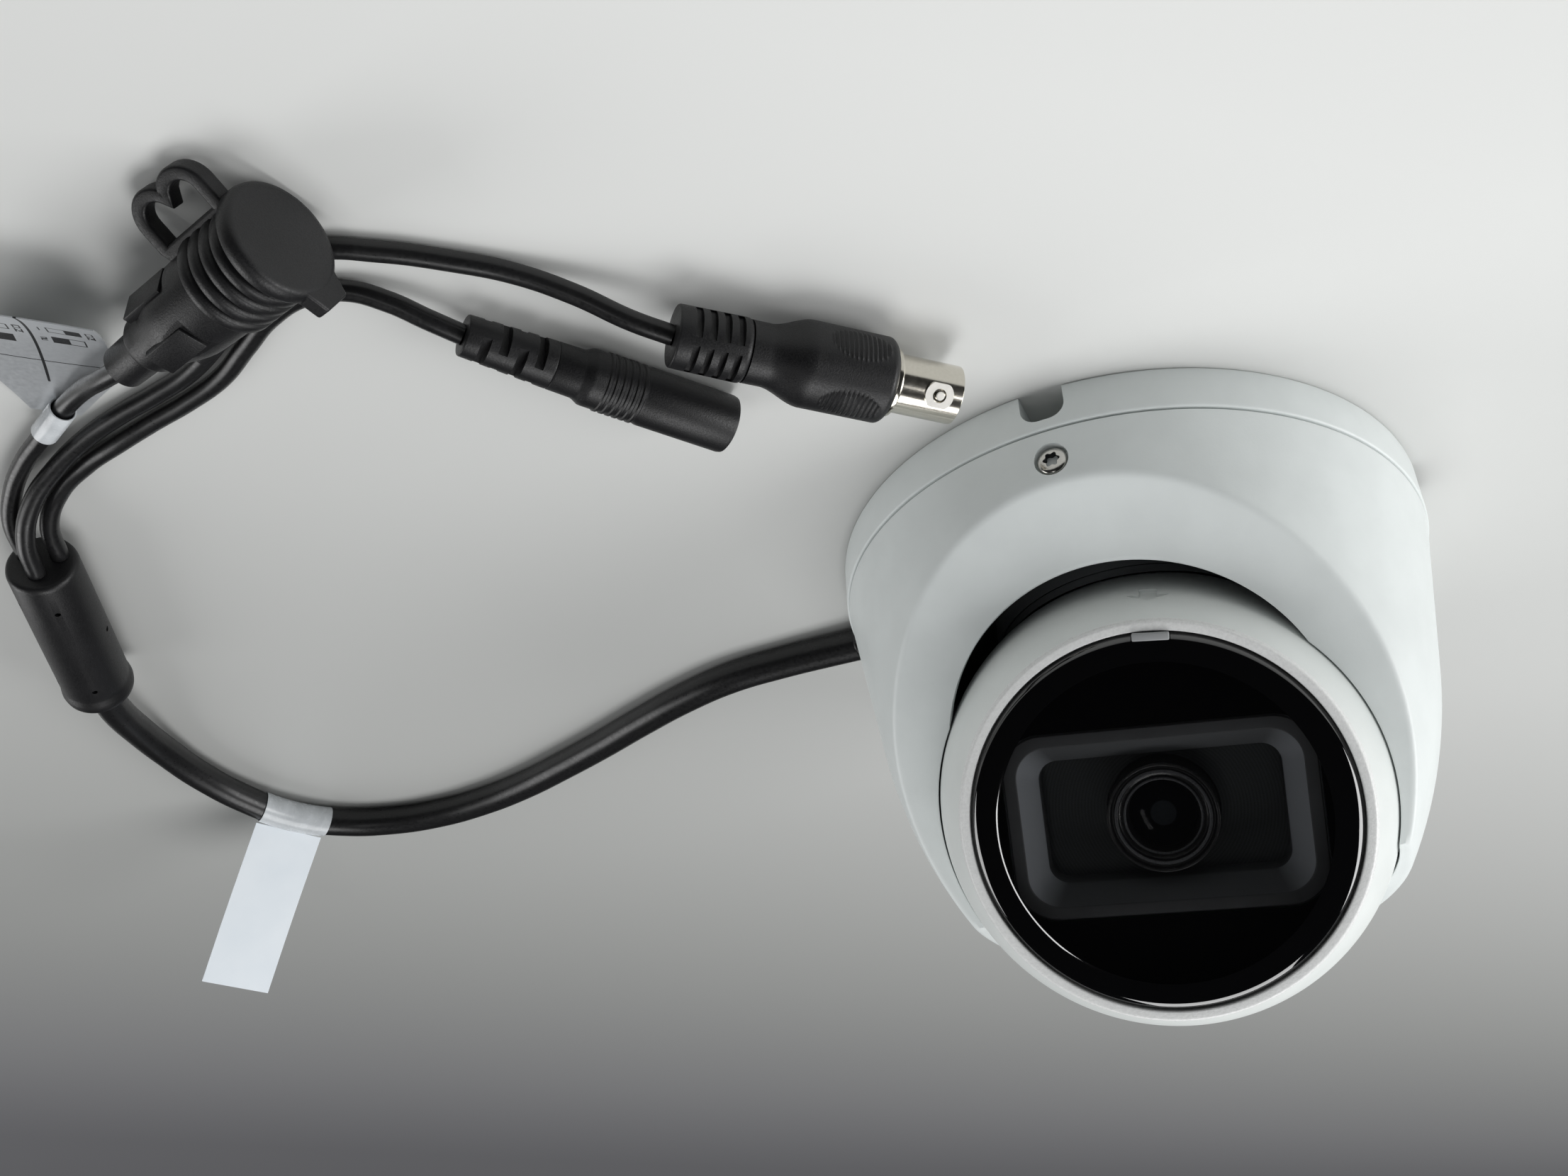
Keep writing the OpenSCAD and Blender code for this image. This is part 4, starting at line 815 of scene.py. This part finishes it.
# Switch pod: neck, four-sided cone, ribbed mouth
POD_AT = along(POD_P, 195)
RIBS_Z, POD_L = 27.6, 38
body = [(3.1, 0), (3.5, 0.4), (3.7, 6.6), (3.9, 7), (4.4, 7.4), (4.8, 8.2)]
body += [(eased(4.8, 7.1, k / 8), 8.2 + 11 * k / 8) for k in range(1, 9)] + [(7.4, 26.8)]
for k in range(4):
    z = RIBS_Z + 2.6 * k
    body += [(7.35, z - 0.35), (8.1, z), (8.3, z + 0.3), (8.3, z + 1.4), (8.1, z + 1.7), (7.35, z + 2.0)]
body += [(7.3, POD_L)]
pod = turned("pod_moulding", 96, body)
cut(pod, *[moved(block("flat_tool", (10, 20, 13), (11.4, 0, 15.8)), spin(pi / 2 * k))
           for k in range(4)])
cut(pod, rod("bore_tool", 6.4, 20, (0, 0, 23), 64))
for k in range(4):
    panel = block("pod_panel", (1.4, 4.8, 9), (6.25, 0, 16.6), 0.18, 2)
    joined(pod, moved(panel, spin(pi / 2 * k)))
# Strap bent to a heart beside the ribs; it and the cap's tab stand at one turn
STRAP_TURN = spin(radians(-26))
LOW, HIGH, REACH, LOBE, ROOT = 27.4, 33.6, 12.4, 3.5, 7.9
heart = [(LOW - LOBE, ROOT + (REACH - ROOT) * k / 6) for k in range(6)]
heart += [(LOW - LOBE * cos(t), REACH + LOBE * sin(t)) for t in angles(14, radians(140), 1)]
heart += [((LOW + HIGH) / 2, REACH + 0.9)]
heart += [(HIGH + LOBE * cos(t), REACH + LOBE * sin(t)) for t in (radians(140) * (1 - k / 14) for k in range(15))]
heart += [(HIGH + LOBE, REACH - (REACH - ROOT) * k / 6) for k in range(1, 7)]
heart += [(HIGH + LOBE - (HIGH - LOW + 2 * LOBE) * k / 5, ROOT) for k in range(1, 5)]


def strap_outline(i):
    """Rounded band section square to the heart's line."""
    (a0, b0), (a1, b1), (a2, b2) = heart[i - 1], heart[i], heart[(i + 1) % len(heart)]
    way = Vector((a2 - a0, b2 - b0)).normalized()
    return [(-w, b1 + u * way.x, a1 - u * way.y) for u, w in rounded_rect(2.3, 3.0, 0.5, 3)]


strap = ring("pod_strap", len(heart), strap_outline)
joined(pod, moved(strap, STRAP_TURN))
moved(pod, POD_AT)
tidy(pod)
dressed(pod, MOULDED_PVC, "base", "black_rubber", "switch_pod")

# Cap: flat face, soft rim, plug and pull tab
cap = turned("pod_cap_moulding", 96, [(5.9, 34), (6.3, 34.4), (6.35, 38.35), (8.6, 38.36), (9.1, 38.6), (9.4, 39.2),
                                      (9.35, 40.2), (9.1, 40.9), (8.7, 41.25), (8.1, 41.35)])
tab = bevelled(prism("cap_tab", [(-4.6, -6.6), (-2.8, -11.7), (2.8, -11.7), (4.6, -6.6)], 2.6, 38.6), 0.4, 3)
joined(cap, moved(tab, STRAP_TURN))
moved(cap, POD_AT)
tidy(cap)
dressed(cap, MOULDED_PVC, "pod_lid", "black_rubber", "pod_cap")

# Power jack: staggered boot, waist, ringed grip, plain barrel
DC_AT = along(DC_P, 125.2)
boot = turned_ring("power_boot", 72, corner_section(
    [(3.4, 0), (4.0, 15), (1.6, 15), (1.6, 0)], [0.3, 0.1, 0.1, 0.3]))
cut(boot, *[moved(block("slot_tool", (5.2, 16, 1.5), (s * 4.4, 0, 3.2 + 3 * k)), spin(pi / 2 * (k % 2)))
            for k in range(4) for s in (-1, 1)])
moved(boot, DC_AT)
dressed(boot, MOULDED_PVC, "base", "black_rubber", "dc_relief")

jack = [(3.9, 15), (4.0, 15.2), (4.1, 19.4), (4.25, 19.9), (4.75, 20.9), (4.8, 21.4), (4.8, 23.2)]
for k in range(6):
    z = 23.4 + 1.2 * k
    jack += [(4.8, z), (5.0, z + 0.2), (5.0, z + 0.6), (4.8, z + 0.8)]
jack += [(4.8, 30.6), (4.98, 31.2), (5.0, 46.2), (4.85, 46.8), (4.5, 47), (3.25, 47), (3.25, 37), (1.5, 37),
         (1.5, 15)]
barrel = turned_ring("power_jack_moulding", 96, jack)
moved(barrel, DC_AT)
dressed(barrel, MOULDED_PVC, "base", "black_rubber", "dc_body")

# Video jack: slotted boot, waisted grip with four ribbed pads, nickel barrel
BNC_AT = along(BNC_P, 135.7)
sleeve = turned_ring("video_boot", 96, corner_section(
    [(5.05, 0), (5.25, 12), (1.6, 12), (1.6, 0)], [1.0, 0.1, 0.1, 0.4]))
cut(sleeve, *[moved(block("slot_tool", (3, 6.2, 1.1), (5.3, 0, 3.1 + 2.25 * k)), spin(pi / 2 * turn))
              for turn in range(4) for k in range(4)])
moved(sleeve, BNC_AT)
dressed(sleeve, MOULDED_PVC, "base", "black_rubber", "bnc_relief")

GRIP_STEPS, GRIP_ROWS = 168, 150


def grip_outline(i):
    """Grip with a waist and four oval pads whose fine ribs stand a little proud."""
    a = 2 * pi * i / GRIP_STEPS
    points = []
    for k in range(GRIP_ROWS + 1):
        z = 12 + 23.6 * k / GRIP_ROWS
        r = eased(5.05, 7.05, (z - 15) / 7)
        r -= 1.2 * max(0, (z - 34.6) / 1.4) ** 2
        off = ((a + pi / 4) % (pi / 2) - pi / 4) * r
        inside = 1 - (off / 3.0) ** 2 - ((z - 29) / 5.4) ** 2
        if inside > 0:
            rib = 0.5 + 0.5 * cos(2 * pi * (z - 29) / 0.8)
            r += min(inside * 6, 1) * (0.26 * rib - 0.1)
        points.append((r, z))
    points += [(5.6, 36), (5.0, 36), (5.0, 33), (1.6, 33), (1.6, 12)]
    return [(r * cos(a), r * sin(a), z) for r, z in points]


grip = ring("video_grip", GRIP_STEPS, grip_outline)
moved(grip, BNC_AT)
dressed(grip, MOULDED_PVC, "base", "black_rubber", "bnc_body")

tube = turned_ring("video_barrel", 96, corner_section(
    [(4.82, 33.2), (4.82, 36.02), (5.6, 36.02), (5.6, 36.7), (4.82, 36.9), (4.82, 47.5), (4.08, 47.5), (4.08, 38.6),
     (2.5, 38.6), (2.5, 33.2)], [0.1, 0.05, 0.15, 0.15, 0.1, 0.25, 0.15, 0.1, 0.1, 0.1]))
# Two bayonet lugs, each a pin in a milled pad, flat on two sides
PAD_R, PAD_HALF = 2.4, 2
oval = [(PAD_R * cos(t), max(-PAD_HALF, min(PAD_HALF, PAD_R * sin(t)))) for t in angles(40)]
for turn in (140, 320):
    pad = prism("bayonet_pad", oval, 1, 4.05)
    cut(pad, rod("pin_hole_tool", 1.15, 2, (0, 0, 4.5), 32))
    joined(pad, turned("bayonet_lug", 32, [(0.72, 4.3), (0.72, 5.35), (0.6, 5.47)]))
    joined(tube, moved(pad, spin(radians(turn)) @ shift(0, 0, 43.4) @ spin(radians(90), "Y")))
tidy(tube)
dressed(tube, NICKEL, "base", "nickel", "bnc_barrel")
# Painted highlight on the milled pads
second_finish(tube, MILLED_NICKEL_PAINTED_HIGHLIGHT, lambda face: from_axis(face) > 4.9 * MM and face.center.z > 40 * MM)
moved(tube, BNC_AT)


# ---------------------------------------------------------------- labels

def laid_sheet(name, columns, rows, place):
    """Sheet from a fine grid, each point laid by place(u, v) with u and v from 0 to 1, in mm."""
    bpy.ops.mesh.primitive_grid_add(x_subdivisions=columns, y_subdivisions=rows, size=2)
    piece = named(name)
    for corner in piece.data.vertices:
        corner.co = Vector(place((corner.co.x + 1) / 2, (corner.co.y + 1) / 2)) * MM
    return piece


# White flag: its tape round the cable, its flag standing off at a slant
TAG_KNOT = 13
TAG_AT = Vector(MAIN_ROUTE[TAG_KNOT])
tag_way = (Vector(MAIN_ROUTE[TAG_KNOT + 1][:2]) - Vector(MAIN_ROUTE[TAG_KNOT - 1][:2])).to_3d().normalized()
tag_out = Vector((-tag_way.y, tag_way.x, 0))
TAG_W, TAG_L, TAG_RISE = 16, 40, radians(53)


def tag_point(along_cable, away, lift):
    """Point near the tag's place on the cable, in mm."""
    return TAG_AT + along_cable * tag_way + away * tag_out + lift * Vector((0, 0, 1))


def tag_flag(u, v):
    """The flag stands off the cable and sags a little."""
    d = CABLE_D / 2 + 0.2 + (TAG_L - 0.4) * u
    sag = 0.5 * sin(pi * u)
    return tag_point((v - 0.5) * TAG_W, d * cos(TAG_RISE) + sag * sin(TAG_RISE),
                     d * sin(TAG_RISE) - sag * cos(TAG_RISE))


flag = laid_sheet("cable_flag", 40, 16, tag_flag)
apply(flag, "SOLIDIFY", thickness=0.3 * MM, offset=0)
tidy(flag)
dressed(flag, LABEL_PAPER, "base", "label_white", "cable_tag")


def tape_point(u, v):
    """The tape goes round the cable and follows its bend."""
    a = 2 * pi * u
    r = CABLE_D / 2 + 0.15
    x = (v - 0.5) * TAG_W
    return tag_point(x, r * cos(a) - x * x / 68, r * sin(a) - x * x / 360)


tape = laid_sheet("cable_tape", 48, 12, tape_point)
apply(tape, "SOLIDIFY", thickness=0.16 * MM, offset=1)
tidy(tape)
dressed(tape, LABEL_TAPE, "base", "label_white")

# Foil flag: a sleeve round the switch tail and a curled flag with switch settings
FOIL_P = Vector((150.25, -126.05, 2.6)) * MM
foil_way = Vector(SWITCH_ROUTE[5]) - Vector(SWITCH_ROUTE[4])
band = turned_ring("foil_sleeve", 48, corner_section([(2.3, -4), (2.3, 4), (2.0, 4), (2.0, -4)], [0.1] * 4))
moved(band, Matrix.Translation(FOIL_P) @ spin(atan2(foil_way.y, foil_way.x)) @ spin(radians(90), "Y"))
dressed(band, LABEL_TAPE, "base", "label_foil", "switch_tag")

FOIL_AT = Matrix.Translation(FOIL_P - Vector((0, 0, 2.15 * MM))) @ spin(radians(230))
FOIL_W, FOIL_L, FOIL_CURL = 22, 36, 60
FOLD_HALF, WIDENS_L = 4, 12


def foil_point(u, v):
    """The flag widens from its fold, curls up on an arc and ripples a little."""
    x = FOIL_L * u
    half = FOLD_HALF + (FOIL_W / 2 - FOLD_HALF) * min(x / WIDENS_L, 1)
    ripple = 0.3 * sin(pi * v) * sin(1.6 * pi * u)
    return (x, (2 * v - 1) * half, FOIL_CURL - sqrt(FOIL_CURL ** 2 - x * x) + ripple)


def in_box(x, y, left, low, width, height):
    return left <= x <= left + width and low <= y <= low + height


# Strokes of the plain marks, as boxes of left, low, width and height in mm
STROKES = {"1": [(0.5, 0, 0.3, 1.6)],
           "2": [(0, 1.3, 1.1, 0.3), (0.8, 0.8, 0.3, 0.8), (0, 0.65, 1.1, 0.3), (0, 0, 0.3, 0.8), (0, 0, 1.1, 0.3)],
           "O": [(0, 0, 0.3, 1.6), (0.9, 0, 0.3, 1.6), (0, 0, 1.2, 0.3), (0, 1.3, 1.2, 0.3)],
           "N": [(0, 0, 0.3, 1.6), (0.9, 0, 0.3, 1.6), (0.3, 0.8, 0.3, 0.5), (0.6, 0.3, 0.3, 0.5)]}


def marked(x, y, sign):
    return any(in_box(x, y, *stroke) for stroke in STROKES[sign])


def inked(x, y):
    """Whether the foil carries ink at x along and y across, in mm: ruled lines and switch pictures."""
    if abs(y) < 0.15 and x > 9 or abs(x - 16) < 0.15:
        return True
    for cell, (middle, top) in enumerate(((-5.4, 31), (5.4, 29.5))):
        for k in (0, 1):
            low = top - 4.9 * k - 2.7
            if in_box(x, y, low, middle - 2.5, 2.7, 5):
                filled = y < middle if (k + cell) % 2 == 0 else y > middle
                return filled or not in_box(x, y, low + 0.3, middle - 2.2, 2.1, 4.4)
            if marked(middle + 4.3 - y, x - low - 0.5, "12"[k]):
                return True
            if marked(middle - 3.2 - y, x - top + 3.4 - 1.9 * k, "NO"[k]):
                return True
    return False


foil = laid_sheet("foil_flag", 150, 92, foil_point)
apply(foil, "SOLIDIFY", thickness=0.2 * MM, offset=0)
tidy(foil)
# The pale, part-metal foil carries a painted reflection
dressed(foil, FOIL, "base", "label_foil")
second_finish(foil, LABEL_INK,
              lambda face: face.normal.z > 0.3 and inked(face.center.x / MM, face.center.y / MM))
moved(foil, FOIL_AT)


# ---------------------------------------------------------------- solids that stay as they are

NODE_FINISH = {
    "cover_screws": STAINLESS, "ball_seat": ACETAL_PAINTED_GAP_LIGHT, "friction_ring": ACETAL_PAINTED_GAP_LIGHT, "cable_gland": DARK_NYLON_AND_SOCKET_SHADE,
    "rear_shell": DARK_NYLON_AND_SOCKET_SHADE, "shell_screws": STAINLESS, "window_seal": SHIELD_RUBBER,
    "lens_plate": RINGED_NYLON, "lens_holder": DARK_NYLON_AND_SOCKET_SHADE, "image_sensor": CHIP_EPOXY, "sensor_board": SOLDER_RESIST,
    "heat_bracket": ALUMINIUM, "main_board": SOLDER_RESIST, "board_screws": STAINLESS, "ir_board": SOLDER_RESIST,
    "ir_leds": LAMP_SILICONE, "light_sensor": CHIP_EPOXY, "dip_block": SWITCH_NYLON, "dip_slider_1": WHITE_ABS,
    "dip_slider_2": WHITE_ABS, "dc_contact": NICKEL, "dc_pin": NICKEL, "bnc_insulator": WHITE_ABS,
    "bnc_contact": GOLD}
for name, finish in NODE_FINISH.items():
    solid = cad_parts[name]
    for place in solid.material_slots:
        place.material = finish
    if not solid.material_slots:
        solid.data.materials.append(finish)


# ---------------------------------------------------------------- what lies on the cords

def node(*names):
    return [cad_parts[name] for name in names]


[sleeve, grip, tube] + node("bnc_insulator", "bnc_contact")
[boot, barrel] + node("dc_contact", "dc_pin")
[band, foil, pod, cap] + node("dip_block", "dip_slider_1", "dip_slider_2")


# ---------------------------------------------------------------- table and light

bpy.ops.mesh.primitive_plane_add(size=6, location=(0, 0, -0.00002))
table = named("table")
TABLE_TOP, tree, shader, coords = new_material("melamine_table_painted_shade")
# White melamine with painted shade: its colour falls off to grey away from the light
FALL_WAY, FALL_FROM, FALL_TO = (0.65, 0.76, 0), -0.1, 0.45
across = add_node(tree, "ShaderNodeVectorMath", {0: coords, 1: FALL_WAY}, operation="DOT_PRODUCT")
share = add_node(tree, "ShaderNodeMapRange", {"Value": across.outputs["Value"], "From Min": FALL_FROM,
                 "From Max": FALL_TO})
fall = add_node(tree, "ShaderNodeValToRGB", {"Fac": share.outputs["Result"]})
fall.color_ramp.interpolation = "B_SPLINE"
fall.color_ramp.elements[0].color = linear("#DEDFDD")
fall.color_ramp.elements[1].color = linear("#606063")
for at, tone in ((0.18, "#C6C7C5"), (0.4, "#ABACAA"), (0.62, "#8F908E"), (0.82, "#79797B")):
    fall.color_ramp.elements.new(at).color = linear(tone)
tree.links.new(fall.outputs["Color"], shader.inputs["Base Color"])
set_shader(shader, roughness=0.5)
table.data.materials.append(TABLE_TOP)

# Even grey room for diffuse light, dim in reflections
world = bpy.data.worlds.new("studio")
scene.world = world
world.use_nodes = True
room = world.node_tree.nodes["Background"]
room.inputs["Color"].default_value = linear("#D8DADC")
seen = add_node(world.node_tree, "ShaderNodeLightPath")
ROOM_DIFFUSE, ROOM_GLOSSY = 0.31, 0.02
glow = add_node(world.node_tree, "ShaderNodeMapRange", {"Value": seen.outputs["Is Glossy Ray"],
                "To Min": ROOM_DIFFUSE, "To Max": ROOM_GLOSSY})
world.node_tree.links.new(glow.outputs["Result"], room.inputs["Strength"])


def lamp(name, place, target, width, height, power):
    """Soft lamp aimed at a point, in metres."""
    bpy.ops.object.light_add(type="AREA", location=place)
    light = named(name)
    light.data.shape = "RECTANGLE"
    light.data.size = width
    light.data.size_y = height
    light.data.energy = power
    light.rotation_euler = (Vector(target) - Vector(place)).to_track_quat("-Z", "Y").to_euler()


lamp("right_lamp", (-0.78, 0.18, 0.42), (0, 0, 0.04), 0.6, 0.6, 6.5)
lamp("left_lamp", (0.85, -0.15, 0.34), (0.03, 0, 0.03), 0.45, 0.45, 2.4)
lamp("top_lamp", (0, 0.25, 0.93), (0, 0, 0), 0.6, 0.6, 5)
# Narrow bare lamp that draws a fine line on the window's edge
lamp("glint_lamp", (0.121, -0.448, 0.614), (0, -0.03, 0.06), 0.04, 0.16, 0.15)
